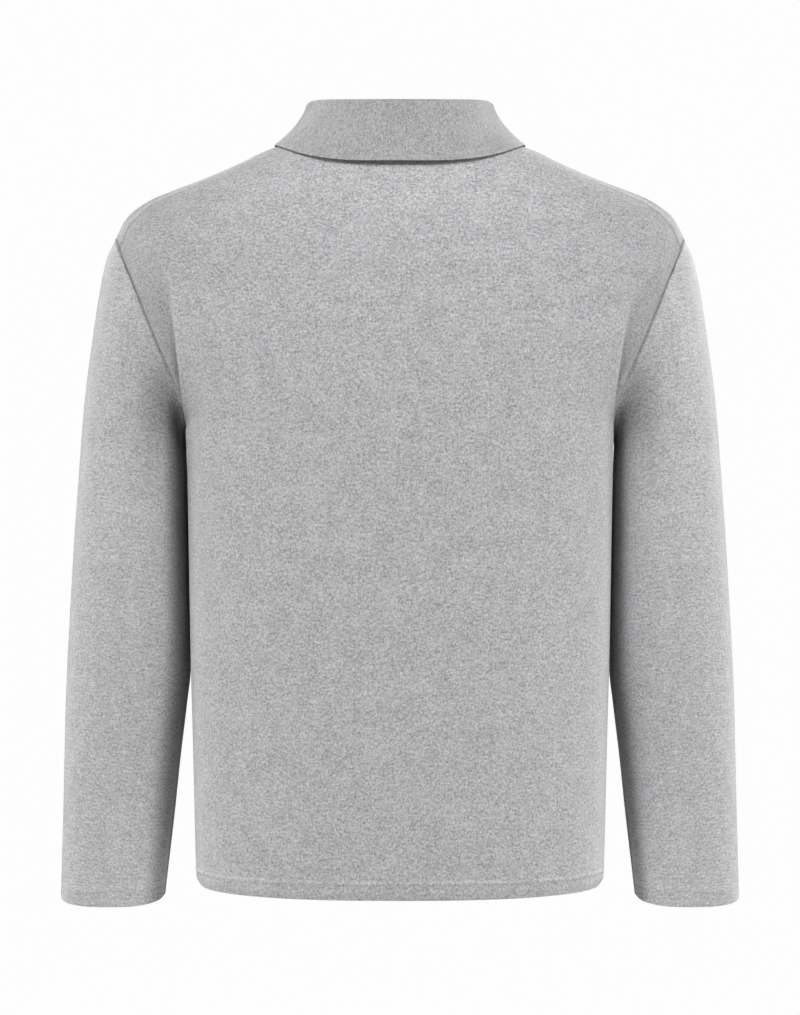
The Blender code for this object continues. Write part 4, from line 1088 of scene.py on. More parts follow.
# ------------------------------------------------------------------ the panels
@dataclass
class BodyPanel:
    """Sizes and steps shared by the back and the fronts."""

    form: BodyForm
    knit: HeatherKnit
    thickness: float = 2.0
    widest_column: float = 4.2
    widest_row: float = 4.5
    side_spacing: float = 0.6
    hem_spacing: float = 0.85
    fine_hem: float = 19.5
    arc_grading: tuple = (0.0105, 0.003, 0.0165, 0.08)
    ridge_grading: tuple = (0.004, 0.003, 0.008)
    swell_fade: float = 30.0
    top_fade: float = 25.0

    def low_heights(self) -> np.ndarray:
        """Heights of the rows from the hem to just under the armhole."""
        fine = np.arange(0.0, self.fine_hem, self.hem_spacing) + BODY_LEVELS.column("height")[0]
        rest = graded(fine[-1] + 0.9, UNDERARM_HEIGHT, 1.0, 2.6, self.widest_row)
        return np.concatenate([fine, rest])[:-1]

    def high_rises(self, last: float) -> np.ndarray:
        """Shares of the armhole's height of the upper rows, from the underarm."""
        turn = math.asin(last ** (self.form.shoulder_rounding / 2.0))
        arc = graded(0.0, turn, *self.arc_grading)
        return np.sin(arc) ** (2.0 / self.form.shoulder_rounding)

    def edge_look(self, grid: np.ndarray, to_side: np.ndarray, swells: Table,
                  shoulder: np.ndarray, inner: np.ndarray) -> np.ndarray:
        """The look of the panel's side, armhole, shoulder and hem, with its swells and the painted
        light along its sides.

        Args:
            grid: the panel's points, from the hem up.
            to_side: distances along the rows to the side seam and the armhole.
            swells: the panel's broad rises and hollows.
            shoulder: shares of the shoulder seam's look.
            inner: shares of the swells beside an inner edge.

        Returns:
            The look.
        """
        climbed = run_along(grid, 0)
        from_top = climbed[-1:] - climbed
        armhole = smooth_step((grid[..., 2] - UNDERARM_HEIGHT + 4.0) / 8.0)
        look = (ARMHOLE_SEAM.look(to_side) * armhole + SIDE_SEAM.look(to_side) * (1.0 - armhole)
                + SHOULDER_SEAM.look(from_top) * shoulder + hem_look(climbed))
        look[0] += (swell_relief(grid, swells) * smooth_step(to_side / self.swell_fade)
                    * smooth_step(from_top / self.top_fade) * inner)
        # painted light along the body's sides
        look[1] += painted_side_light(grid)
        return look

    def knitted(self, name: str, grid: np.ndarray, look: np.ndarray, wale: np.ndarray,
                face: Face, **gaps: float) -> bpy.types.Object:
        """Knit the panel with its look and leave its seams' gaps.

        Args:
            name: the node's name.
            grid: the panel's points, from the hem up.
            look: the panel's look.
            wale: the columns' distances across the wales.
            face: the side that the panel's outer face shows.
            gaps: the gap at each sewn border.

        Returns:
            The piece.
        """
        probe = (5, len(wale) // 2)
        climbed = run_along(grid, 0)
        relief, tone = off_the_tip(look, grid)
        grid = grid + surface_normals(grid, probe, 1, face.value) * relief[..., None]
        grid = pulled_from_seams(softened_tip(grid), **gaps)
        normals = steadied(surface_normals(grid, probe, 1, face.value), grid)
        knit = np.stack([np.broadcast_to(wale, climbed.shape), climbed], axis=-1)
        piece = ClothWall("knit_" + name, grid, normals, knit, tone, ("first_row",),
                          self.thickness).build()
        dress(piece, self.knit.material(), name)
        return piece


@dataclass
class BackPanel(BodyPanel):
    """The back, one panel from side seam to side seam."""

    def build(self) -> bpy.types.Object:
        """Knit the back and sew it in.

        Returns:
            The back's object.
        """
        form = self.form
        shares, arcs = form.arc_of_share(Face.BACK)
        half_arc = graded(0.0, arcs[-1], self.widest_column, self.side_spacing, self.widest_column)
        share, wale = (np.concatenate([-half[:0:-1], half])
                       for half in (np.interp(half_arc, arcs, shares), half_arc))
        climbs = form.climb_of_rise(self.high_rises(form.back_armhole_end), Face.BACK)
        grid = np.concatenate([form.low_points(share, self.low_heights()[:, None], Face.BACK),
                               form.back_points(share, climbs[:, None])])
        middle = len(half_arc) - 1
        halves = (grid[:, middle::-1], grid[:, middle:])
        folds = [fold_look(*given) for given in zip(halves, (BACK_LEFT_FOLD, BACK_RIGHT_FOLD))]
        runs = [run_along(half, 1) for half in halves]
        to_side, fold = (np.concatenate([left[..., :0:-1], right], axis=-1) for left, right in
                         ([run[:, -1:] - run for run in runs], folds))
        look = self.edge_look(grid, to_side, BACK_SWELLS, smooth_step(to_side / 9.0), 1.0)
        # painted highlight and shade of the armhole folds and of the strip behind the shoulder seam
        look = look + fold + shoulder_line_and_painted_highlight(grid)
        # painted light below the collar; darker out at the shoulders' ends
        look[1] += painted_neck_light_and_dark_shoulders(grid)
        gap = ARMHOLE_SEAM.gap
        piece = self.knitted("back", grid, look, wale, Face.BACK,
                             first_column=gap, last_column=gap, last_row=gap)
        return piece


@dataclass
class FrontPanel(BodyPanel):
    """A front, from the button band to the side seam, and over the ridge to the back."""

    side: Side = Side.LEFT
    band_edge: float = 15.0
    fold: Table = FRONT_LEFT_FOLD

    def strip_rows(self, share: np.ndarray, first_distance: float) -> np.ndarray:
        """Rows of the front for given top-row columns.

        Args:
            share: shares of the columns at the shoulder's width.
            first_distance: the first column's distance from the centre front.

        Returns:
            Points, rows by columns by 3.
        """
        form, sign = self.form, self.side.value
        first = first_distance / SHOULDER_TIP_OUT

        def kept(half_width: np.ndarray) -> np.ndarray:
            """The columns slid so that the first one keeps its distance from the centre."""
            slide = (first_distance / half_width)[:, None] - first
            return sign * (share + slide * (1.0 - share) / (1.0 - first))

        heights = self.low_heights()
        low_share = kept(BODY_LEVELS.read("half_width", heights))
        rises = self.high_rises(1.0)
        climbs = form.climb_of_rise(rises, Face.FRONT)
        over = graded(climbs[-1], 1.0, *self.ridge_grading)[1:]
        climbs = np.concatenate([climbs, over])
        rises = np.concatenate([rises, np.ones(len(over))])
        high_share = kept(ARMHOLE_LEVELS.read("out", rises))
        return np.concatenate([form.low_points(low_share, heights[:, None], Face.FRONT),
                               form.front_points(high_share, climbs[:, None])])

    def build(self) -> bpy.types.Object:
        """Knit the front and sew it in.

        Returns:
            The front's object.
        """
        shares, arcs = self.form.arc_of_share(Face.FRONT)
        start = float(np.interp(self.band_edge / SHOULDER_TIP_OUT, shares, arcs))
        wale = graded(start, arcs[-1], self.side_spacing, self.side_spacing, self.widest_column)
        share = np.interp(wale, arcs, shares)
        share[0] = self.band_edge / SHOULDER_TIP_OUT
        grid = self.strip_rows(share, self.band_edge)
        run = run_along(grid, 1)
        look = self.edge_look(grid, run[:, -1:] - run, FRONT_SWELLS, 1.0,
                              smooth_step(run / self.top_fade))
        look = look + SIDE_SEAM.look(run) + fold_look(grid, self.fold)
        name = "front_" + self.side.word
        piece = self.knitted(name, grid, look, wale * self.side.value, Face.FRONT,
                             first_column=BAND_GAP, last_column=ARMHOLE_SEAM.gap,
                             last_row=ARMHOLE_SEAM.gap)
        return piece


@dataclass
class Sleeve:
    """A sleeve, one panel joined along the underarm and sewn to the armhole."""

    form: BodyForm
    knit: HeatherKnit
    side: Side
    inner_shade_start: float = 0.60
    upper_arm_painted_light: float = -0.04
    inner_shade_end: float = 0.94
    tuck_place: float = 0.86
    crease_sway: float = 0.86
    crease_drop: float = -7.0
    thickness: float = 2.0
    squareness: float = 2.5
    blend_length: float = 150.0
    widest_ring: float = 4.6
    column_grading: tuple = (0.0055, 0.016, 0.021, 0.12)

    def lengths(self) -> np.ndarray:
        """The length along the sleeve's middle line at each row of its table."""
        column = SLEEVE_LEVELS.column
        middles = np.stack([0.5 * (column("outer_out") + column("inner_out")),
                            column("centre_forward"),
                            0.5 * (column("outer_height") + column("inner_height"))], axis=-1)
        return run_along(middles[None], 1)[0]

    def rings(self, along: np.ndarray, share: np.ndarray, sign: np.ndarray) -> np.ndarray:
        """Points of the sleeve's rings.

        Args:
            along: lengths along the sleeve, rows by 1.
            share: shares of the rings' width from -1 to 1, rows by columns.
            sign: the columns' side along Y.

        Returns:
            Points, rows by columns by 3.
        """
        lengths = self.lengths()

        def value(name: str) -> np.ndarray:
            """One column of the sleeve's table at each ring."""
            return curve_through(lengths, SLEEVE_LEVELS.column(name), along)

        outer, inner = (np.stack([value(end + "_out"), 0.0 * along, value(end + "_height")],
                                 axis=-1) for end in ("outer", "inner"))
        points = 0.5 * (outer + inner) + 0.5 * (outer - inner) * share[..., None]
        forward = sign * value("half_depth") * self.form.bowed(share, self.squareness)
        points[..., 1] = value("centre_forward") + forward
        points[..., 2] += forward * np.tan(np.radians(value("lean_degrees")))
        return points

    def outline(self) -> tuple:
        """The sleeve's outer face, from the armhole's own shape to even rings.

        Returns:
            Points, a closed ring a row; the columns' side along Y; their even angles round
            the sleeve; and the column of the outer line.
        """
        half = graded(0.0, 1.0, *self.column_grading)
        rise = curve_through(np.linspace(0.0, 1.0, len(SEAM_STEP_RISES)), SEAM_STEP_RISES, half)
        loop = np.concatenate([self.form.armhole_points(rise, Face.BACK),
                               self.form.armhole_points(rise[-2:0:-1], Face.FRONT)])
        tip = len(half) - 1
        sign = np.where(np.arange(len(loop)) <= tip, -1.0, 1.0)
        even = math.pi * np.concatenate([1.0 - half, 1.0 + half[-2:0:-1]])
        top = np.array([SHOULDER_TIP_OUT, 0.0, SHOULDER_TIP_HEIGHT])
        low = np.array([SLEEVE_LEVELS.column("inner_out")[0], 0.0, UNDERARM_HEIGHT])
        arm = 0.5 * (top - low)
        seam_angle = np.arccos(np.clip((loop - 0.5 * (top + low)) @ arm / (arm @ arm), -1.0, 1.0))
        seam_angle = np.where(sign < 0.0, seam_angle, 2.0 * math.pi - seam_angle)
        seam_angle[0] = math.pi
        seam_angle[tip] = even[tip] = 0.0
        along = graded(0.0, float(self.lengths()[-1]), 0.8, 1.0, self.widest_ring)[:, None]
        own_shape = loop - self.rings(np.zeros((1, 1)), np.cos(seam_angle)[None], sign)
        fade = smooth_step(along / self.blend_length)
        angle = seam_angle * (1.0 - fade) + even * fade
        angle[:, tip] = 0.0
        grid = self.rings(along, np.cos(angle), sign) + own_shape * (1.0 - fade)[..., None]
        return grid, sign, even, tip

    def look(self, grid: np.ndarray, even: np.ndarray) -> np.ndarray:
        """The look of the sleeve's seams, cuff and creases, with painted light and shade: painted
        shade on its inner side and in the armpit.

        Args:
            grid: the sleeve's points.
            even: the columns' angles round the sleeve.

        Returns:
            The look.
        """
        run = run_along(np.concatenate([grid, grid[:, :1]], axis=1), 1)
        to_underarm = np.minimum(run, run[:, -1:] - run)[:, :-1]
        down = run_along(grid, 0)
        inner = -np.cos(even)
        out, height = grid[..., 0], grid[..., 2]
        armpit = ARMPIT.share(out, height)
        look = (ARMHOLE_SEAM.look(down) + SIDE_SEAM.look(to_underarm)
                + hem_look(down[-1:] - down, 0.35, 0.35))
        look[0] += (self.creases(height, np.degrees(even))
                    - 2.0 * armpit * (1.0 - smooth_step((inner - 0.45) / 0.30)))
        # Painted light and shade: lighter or darker on the upper arm, a little lighter down the
        # lower sleeve, and painted shade on the inner side beside the body, in the armpit and under
        # the lower armhole seam.
        look[1] += (self.upper_arm_painted_light * hump(down - 60.0, 90.0)
                    + 0.025 * smooth_step((down - 250.0) / 200.0)
                    - INNER_TURN.read("shade", down)
                    * smooth_step((inner - self.inner_shade_start) / (self.inner_shade_end - self.inner_shade_start))
                    - 0.34 * armpit * smooth_step(down / 6.0)
                    - 0.26 * ARMPIT_CORNER.share(out, height)
                    - 0.14 * hump(down - 0.6, 1.6) * smooth_step((-180.0 - height) / 30.0))
        return look

    def creases(self, height: np.ndarray, turn: np.ndarray) -> np.ndarray:
        """The sum of the sleeve's soft creases, a little lower and flatter on the left."""
        left = self.side is Side.LEFT
        sway, drop = (self.crease_sway, self.crease_drop) if left else (1.0, 0.0)
        total = 0.0
        for _, place, middle_turn, half_length, half_turn, rise, slant in SLEEVE_CREASES.rows:
            around = (turn - middle_turn + 180.0) % 360.0 - 180.0
            middle = place + slant * around / half_turn + drop
            total = total + (sway * rise * hump(height - middle, half_length)
                             * hump(around, half_turn))
        return total

    @staticmethod
    def knit_places(grid: np.ndarray, tip: int) -> np.ndarray:
        """Places in the fabric: wales run along the sleeve, courses level round it.

        Args:
            grid: the sleeve's points, a closed ring a row.
            tip: the column of the outer line.

        Returns:
            Distances across the wales and along them.
        """
        out, forward, height = np.moveaxis(grid, -1, 0)
        outer = grid[:, tip]
        radius, middle = (SLEEVE_LEVELS.read(name, height, "outer_height")
                          for name in ("half_depth", "centre_forward"))
        rim = np.interp(-height, -outer[:, 2], outer[:, 0])
        angle = np.unwrap(np.arctan2(forward - middle, out - rim + radius), axis=1)
        lean = math.atan2(outer[-1, 0] - outer[0, 0], outer[0, 2] - outer[-1, 2])
        return np.stack([radius * (angle - angle[:, tip:tip + 1]),
                         out * math.sin(lean) - height * math.cos(lean)], axis=-1)

    def build(self) -> bpy.types.Object:
        """Knit the sleeve and sew it in.

        Returns:
            The sleeve's object.
        """
        grid, sign, even, tip = self.outline()
        down = run_along(grid, 0)
        relief, tone = off_the_tip(self.look(grid, even), grid)
        probe = (len(grid) // 2, tip)
        grid = grid + surface_normals(grid, probe, 0, 1.0, closed=True) * relief[..., None]
        grid[..., 1] -= (sign * INNER_TURN.read("tuck", down)
                         * hump(-np.cos(even) - self.tuck_place, 0.16))
        grid = pulled_from_seams(softened_tip(grid), first_row=ARMHOLE_SEAM.gap)
        knit = self.knit_places(grid, tip)
        mirror = np.array([self.side.value, 1.0, 1.0])
        normals = surface_normals(grid, probe, 0, 1.0, closed=True) * mirror
        name = "sleeve_" + self.side.word
        piece = ClothWall("knit_" + name, grid * mirror, normals, knit, tone, ("last_row",),
                          self.thickness, closed=True).build()
        dress(piece, self.knit.material(), name)
        return piece


@dataclass
class ButtonBand:
    """A button band, sewn to a front and lapped past the centre."""

    front: FrontPanel
    knit: HeatherKnit
    free_edge: float
    lift: float
    thickness: float = 2.0
    ramp: float = 4.0
    top_clearance: float = 1.2

    def surface(self) -> tuple:
        """The band's outer face.

        Returns:
            Points, rows by columns by 3, and the columns' signed distance from the centre.
        """
        sewn, front = self.front.band_edge, self.front
        stations = graded(-sewn, self.free_edge, 0.6, 0.6, 1.9, 0.15)
        strips = []
        for station in stations:
            side = front.side if station <= 0.0 else Side(-front.side.value)
            panel = FrontPanel(front.form, front.knit, side=side, band_edge=abs(station))
            share = np.array([abs(station) / SHOULDER_TIP_OUT])
            strips.append(panel.strip_rows(share, abs(station))[:, 0])
        grid = np.stack(strips, axis=1)
        grid[..., 1] += self.lift * smooth_step((stations + sewn) / self.ramp)
        return grid, stations

    def build(self) -> bpy.types.Object:
        """Knit the band and sew it on.

        Returns:
            The band's object.
        """
        grid, stations = self.surface()
        climbed = run_along(grid, 0)
        from_top = climbed[-1:] - climbed
        keep = from_top[:, len(stations) // 2] > self.top_clearance
        grid, climbed = grid[keep], climbed[keep]
        run = run_along(grid, 1)
        to_free = run[:, -1:] - run
        look = SIDE_SEAM.look(run) + hem_look(climbed, 0.6, 0.5)
        look[0] += 0.25 * hump(to_free - 2.2, 0.8) - 0.22 * hump(to_free - 3.6, 0.7)
        # painted shade in the groove beside the free edge
        look[1] -= 0.10 * hump(to_free - 3.6, 0.7)
        grid = grid + surface_normals(grid, (5, 5), 1, 1.0) * look[0][..., None]
        grid = pulled_from_seams(grid, first_column=BAND_GAP)
        name = "button_band_" + self.front.side.word
        piece = ClothWall("knit_" + name, grid, surface_normals(grid, (5, 5), 1, 1.0),
                          np.stack([run, climbed], axis=-1), look[1],
                          ("first_row", "last_row", "last_column"), self.thickness).build()
        dress(piece, self.knit.material(), name)
        return piece


@dataclass
class Collar:
    """The knitted collar: it stands from the neckline, rolls over and falls."""

    form: BodyForm
    knit: HeatherKnit
    thickness: float = 2.0
    roll_radius: float = 5.0
    seam_gap: float = 1.0
    front_gap: float = 1.5
    edge_fullness: float = 0.85
    edge_clearance: float = 3.8
    roll_end_degrees: float = 3.0
    stand_lean: float = 0.45
    start_pull: float = 30.0
    end_pull: float = 40.0
    start_out: tuple = (0.30, 0.75)
    end_out: tuple = (0.85, 0.35)
    end_fade: float = 0.6
    below_seam: float = 0.97
    angle_grading: tuple = (1.8, 0.5, 1.8)
    stand_grading: tuple = (0.03, 0.05, 0.06)
    fall_grading: tuple = (0.04, 0.014, 0.045)
    roll_points: int = 13

    def __post_init__(self) -> None:
        """Work out the part of the right front that the collar lies over."""
        self.chest = self.form.front_points(np.linspace(0.0, 0.75, 150),
                                            np.linspace(0.4, 1.0, 160)[:, None])

    def guide(self, line: CollarGuide, angle: float) -> np.ndarray:
        """A point of a collar guide; 0 is the centre back, 90 the side, 180 the front."""
        turned = math.radians(angle)
        if angle > 90.0:
            turned = QUARTER_TURN * (1.0 + (angle - 90.0) / 90.0
                                     * (line.front_angle - 90.0) / 90.0)
        across, forward = math.sin(turned), abs(math.cos(turned))
        if angle <= 90.0:
            height = line.back_height + (line.side_height - line.back_height) \
                * across ** line.back_level
            return np.array([line.half_width * across, -line.back_depth * forward, height])
        height = line.side_height + (line.front_height - line.side_height) \
            * forward ** line.front_level
        return np.array([line.half_width * across, line.front_depth * forward, height])

    def front_height_at(self, out: float, forward: float) -> float:
        """The height of the fronts' outer face over a place in plan."""
        line = sorted(tuple(float(np.interp(out, row[:, 0], row[:, axis])) for axis in (1, 2))
                      for row in self.chest)
        return float(np.interp(forward, *zip(*line)))

    def edge_point(self, angle: float) -> np.ndarray:
        """A point of the free edge, which lies over the fronts' own surface."""
        line = COLLAR_EDGE
        point = self.guide(line, angle)
        if angle <= 90.0:
            return point
        point[0] = line.half_width * (point[0] / line.half_width) ** self.edge_fullness
        point[1] = line.front_depth * (point[1] / line.front_depth) ** self.edge_fullness
        point[2] = self.front_height_at(point[0], point[1]) + self.edge_clearance
        point[1] += self.edge_clearance * point[1] / line.front_depth
        return point

    def seam_frame(self, angle: float) -> tuple:
        """The neck seam's point at an angle, its facing and the way past it.

        Args:
            angle: degrees round the neck from the centre back.

        Returns:
            The point, the body's outward normal there and the unit way up past the seam.
        """
        points = self.form.back_points if angle <= 90.0 else self.form.front_points
        last = self.form.neck_share - 2.0 * NEAR
        share = min(self.form.neck_share * math.sin(math.radians(angle)), last)
        near = min(share + 0.004, last)
        seam, below = points(np.array([near - 0.008, share, near]),
                             np.array([[1.0], [self.below_seam]]))
        leave = unit(seam[1] - below[1])
        normal = unit(np.cross(seam[2] - seam[0], leave))
        return seam[1], (normal if normal[2] > 0.0 else -normal), leave

    def profile(self, angle: float) -> np.ndarray:
        """The outer face at one angle: up the stand, over the roll, down the fall.

        Args:
            angle: degrees round the neck from the centre back.

        Returns:
            Points of the profile.
        """
        seam, normal, leave = self.seam_frame(angle)
        roll, edge = self.guide(COLLAR_ROLL, angle), self.edge_point(angle)
        outward = unit((edge - roll) * np.array([1.0, 1.0, 0.0]))
        up = np.array([0.0, 0.0, 1.0])
        base = seam - normal * self.thickness + leave * self.seam_gap
        centre = roll - up * self.roll_radius
        roll_start = centre - outward * self.roll_radius
        height = float(np.linalg.norm(roll_start - base))
        stand = bridge(base, leave * height * self.stand_lean, roll_start, up * height,
                       graded(0.0, 1.0, *self.stand_grading)[:-1, None])
        last = math.pi - math.radians(self.roll_end_degrees)
        turn = (math.pi - np.linspace(0.0, last, self.roll_points))[:, None]
        over = centre + self.roll_radius * (outward * np.cos(turn) + up * np.sin(turn))
        forward = max(0.0, -math.cos(math.radians(angle)))
        start_out = self.start_out[0] + (self.start_out[1] - self.start_out[0]) * forward
        end_out = self.end_out[0] + (self.end_out[1] - self.end_out[0]) * forward ** self.end_fade
        end_way = outward * end_out - up * math.sqrt(1.0 - end_out * end_out)
        fall = bridge(over[-1], (outward * start_out - up) * self.start_pull, edge,
                      end_way * self.end_pull, graded(0.0, 1.0, *self.fall_grading)[1:, None])
        return np.concatenate([stand, over, fall])

    def build(self) -> bpy.types.Object:
        """Knit the collar and sew it to the neck.

        Returns:
            The collar's object.
        """
        end = 180.0 - math.degrees(math.asin(self.front_gap / NECK_HALF_WIDTH))
        right = np.array([self.profile(angle)
                          for angle in graded(0.0, end, *self.angle_grading)])
        grid = np.concatenate([right[:0:-1] * np.array([-1.0, 1.0, 1.0]), right])
        probe = (len(right) - 1, -1)
        down = run_along(grid, 1)
        to_edge = down[:, -1:] - down
        round_roll = run_along(grid, 0)[:, down.shape[1] // 2, None]
        to_end = np.minimum(round_roll, round_roll[-1] - round_roll)
        relief = (0.20 * hump(to_edge - 2.8, 1.3) - 0.16 * hump(to_edge - 5.4, 1.2)
                  + 0.20 * hump(to_end - 2.2, 1.0))
        grid = grid + surface_normals(grid, probe, 1, -1.0) * relief[..., None]
        knit = np.stack([np.broadcast_to(round_roll, down.shape), down], axis=-1)
        # A painted highlight along the rolled edge, and painted shadow on the underside near the
        # free edge.
        piece = ClothWall("knit_collar", grid, surface_normals(grid, probe, 1, -1.0), knit,
                          0.05 * hump(to_edge - 1.6, 1.5),
                          ("first_row", "last_row", "last_column"), self.thickness,
                          painted_under_shade=-0.70 * (1.0 - smooth_step((to_edge - 1.0) / 14.0))).build()
        dress(piece, self.knit.material(), "collar")
        return piece


# ------------------------------------------------------------------ buttons and thread
def mesh_of(shape: bmesh.types.BMesh, name: str) -> bpy.types.Mesh:
    """A mesh made from an edited shape, which is then freed."""
    mesh = bpy.data.meshes.new(name)
    shape.to_mesh(mesh)
    shape.free()
    return mesh


def placed(name: str, data: bpy.types.ID, place: Sequence[float] = (0.0, 0.0, 0.0),
           turn: Sequence[float] = (0.0, 0.0, 0.0)) -> bpy.types.Object:
    """A new object at a place in metres, linked to the scene."""
    thing = bpy.data.objects.new(name, data)
    thing.location, thing.rotation_euler = place, turn
    bpy.context.scene.collection.objects.link(thing)
    return thing


@dataclass
class Fastening:
    """The row of sewn-through buttons with their thread and buttonholes."""

    band: ButtonBand
    horn: ButtonHorn = field(default_factory=ButtonHorn)
    thread: SewingThread = field(default_factory=SewingThread)
    count: int = 7
    sides: int = 64
    hole_radius: float = 0.9
    hole_spacing: float = 3.4
    hole_sides: int = 20
    sharp_degrees: float = 40.0
    thread_radius: float = 0.32
    thread_sides: int = 10
    strand_shift: float = 0.36
    strand_lift: float = 1.15
    under_button: float = 2.05
    buttonhole_length: float = 10.6
    buttonhole_width: float = 0.95
    buttonhole_thread: float = 0.55
    stitches: float = 36.0

    def blank(self) -> bpy.types.Mesh:
        """A button's turned form, its face towards +Z."""
        shape = bmesh.new()
        rings = [[shape.verts.new((radius * math.cos(turn) * MM, radius * math.sin(turn) * MM,
                                   height * MM))
                  for turn in np.linspace(0.0, 2.0 * math.pi, self.sides, endpoint=False)]
                 for _, radius, height in BUTTON_RINGS.rows]
        for below, above in zip(rings, rings[1:]):
            for step in range(self.sides):
                after = (step + 1) % self.sides
                shape.faces.new((below[step], below[after], above[after], above[step]))
        shape.faces.new(rings[0][::-1])
        shape.faces.new(rings[-1])
        return mesh_of(shape, "turned button")

    def pins(self) -> bpy.types.Mesh:
        """Four round pins, one for each hole."""
        shape = bmesh.new()
        radius, half = self.hole_radius * MM, 0.5 * self.hole_spacing * MM
        for across in (-half, half):
            for along in (-half, half):
                pin = bmesh.ops.create_cone(shape, cap_ends=True, segments=self.hole_sides,
                                            radius1=radius, radius2=radius, depth=8.0 * MM)
                bmesh.ops.translate(shape, verts=pin["verts"], vec=(across, along, 0.0))
        return mesh_of(shape, "pins")

    def button_mesh(self) -> bpy.types.Mesh:
        """A turned button with four holes cut through it.

        Returns:
            The mesh, its face towards +Z.
        """
        blank, cutter = placed("blank", self.blank()), placed("pins", self.pins())
        holes = blank.modifiers.new("holes", 'BOOLEAN')
        holes.operation = 'DIFFERENCE'
        holes.solver = 'EXACT'
        holes.object = cutter
        bpy.context.view_layer.update()
        cut = bpy.data.meshes.new_from_object(
            blank.evaluated_get(bpy.context.evaluated_depsgraph_get()))
        for thing in (blank, cutter):
            bpy.data.objects.remove(thing, do_unlink=True)
        cut.shade_smooth()
        cut.set_sharp_from_angle(angle=math.radians(self.sharp_degrees))
        cut.materials.clear()
        cut.materials.append(self.horn.material())
        return cut

    def tube(self, name: str, path: np.ndarray, radius: float, closed: bool = False) -> None:
        """Lay a thread as a round tube along a path.

        Args:
            name: the piece's name.
            path: points in millimetres.
            radius: the thread's radius in millimetres.
            closed: True where the path closes.
        """
        ways = unit((np.roll(path, -1, axis=0) - np.roll(path, 1, axis=0)) if closed
                    else np.gradient(path, axis=0))
        helper = (1.0, 0.0, 0.0) if abs(ways[:, 0]).max() < 0.95 else (0.0, 1.0, 0.3)
        across = unit(np.cross(ways, helper))
        other = np.cross(ways, across)
        turns = np.linspace(0.0, 2.0 * math.pi, self.thread_sides, endpoint=False)[:, None]
        rings = path[:, None] + radius * (across[:, None] * np.cos(turns)
                                          + other[:, None] * np.sin(turns))
        index = np.arange(len(path) * self.thread_sides).reshape(len(path), -1)
        upper = np.roll(index, -1, axis=0) if closed else index[1:]
        lower = index if closed else index[:-1]
        faces = np.stack([lower, np.roll(lower, -1, axis=1), np.roll(upper, -1, axis=1), upper],
                         axis=-1).reshape(-1, 4).tolist()
        if not closed:
            faces += [index[0, ::-1].tolist(), index[-1].tolist()]
        piece = linked_piece(name, rings, faces)
        piece.data.materials.append(self.thread_material)
        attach(piece, "root")

    def build(self) -> None:
        """Sew on the buttons, each with its thread and its buttonhole."""
        mesh = self.button_mesh()
        self.thread_material = self.thread.material()
        grid, stations = self.band.surface()
        line = grid[:, int(np.argmin(np.abs(stations)))]
        for number in range(1, self.count + 1):
            node = "button_%d" % number
            centre = np.sum(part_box(node), axis=0) / (2.0 * MM)
            row = int(np.argmin(np.linalg.norm(line - centre, axis=1)))
            way = unit(line[row + 2] - line[row - 2])
            outward = unit(np.cross(way, (1.0, 0.0, 0.0)))
            outward = outward if outward[1] > 0.0 else -outward
            side = np.cross(outward, -way)
            button = placed("horn_" + node, mesh.copy(), centre * MM,
                            (math.atan2(outward[2], outward[1]) - QUARTER_TURN, 0.0, 0.0))
            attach(button, "root")
            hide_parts(node)
            self.sew(number, centre, side, -way, outward)
            self.buttonhole(number, centre - outward * self.under_button, side, -way, outward)
        LOG.info("fastening: %d buttons with thread and buttonholes", self.count)

    def sew(self, number: int, centre: np.ndarray, side: np.ndarray, down: np.ndarray,
            outward: np.ndarray) -> None:
        """Sew a button on with two bars of thread through its holes.

        Args:
            number: which button.
            centre: its middle.
            side: unit way across it.
            down: unit way down the band.
            outward: unit way out of its face.
        """
        reach = 0.5 * self.hole_spacing
        share = np.linspace(-1.0, 1.0, 17)[:, None]
        lift = self.strand_lift - 2.4 * np.clip(np.abs(share) - 0.86, 0.0, 1.0) / 0.14
        places = [across + shift for across in (-reach, reach)
                  for shift in (-self.strand_shift, self.strand_shift)]
        for strand, place in enumerate(places, start=1):
            path = centre + side * place + down * share * (reach + 0.35) + outward * lift
            self.tube("thread_%d_%d" % (number, strand), path, self.thread_radius)

    def buttonhole(self, number: int, middle: np.ndarray, side: np.ndarray, down: np.ndarray,
                   outward: np.ndarray) -> None:
        """Work a buttonhole's edge under a button.

        Args:
            number: which button.
            middle: the buttonhole's middle on the band.
            side: unit way across it.
            down: unit way along it.
            outward: unit way out of the band.
        """
        turn = np.linspace(0.0, 2.0 * math.pi, 72, endpoint=False)[:, None]
        along, across = (np.sign(wave) * np.abs(wave) ** power * reach for wave, power, reach in
                         ((np.cos(turn), 0.55, self.buttonhole_length),
                          (np.sin(turn), 0.75, self.buttonhole_width)))
        ripple = 0.15 + 0.10 * np.cos(turn * self.stitches)
        self.tube("buttonhole_%d" % number,
                  middle + down * along + side * across + outward * ripple,
                  self.buttonhole_thread, closed=True)


# ------------------------------------------------------------------ the studio
class Lamp(NamedTuple):
    """A soft square lamp: its place and size in metres, and its light on the garment."""

    name: str
    place: tuple
    size: float
    light: float


LAMPS = (
    Lamp("key", (0.08, -2.40, 1.45), 1.0, 0.635),
    Lamp("left side", (-2.50, -0.30, 0.40), 1.1, 0.28),
    Lamp("right side", (2.50, -0.30, 0.40), 1.1, 0.295),
    Lamp("left rim", (-2.50, 0.90, -0.30), 1.2, 0.22),
    Lamp("right rim", (2.50, 0.90, -0.30), 1.2, 0.22),
    Lamp("front key", (0.50, 2.50, 1.40), 1.2, 0.52),
)


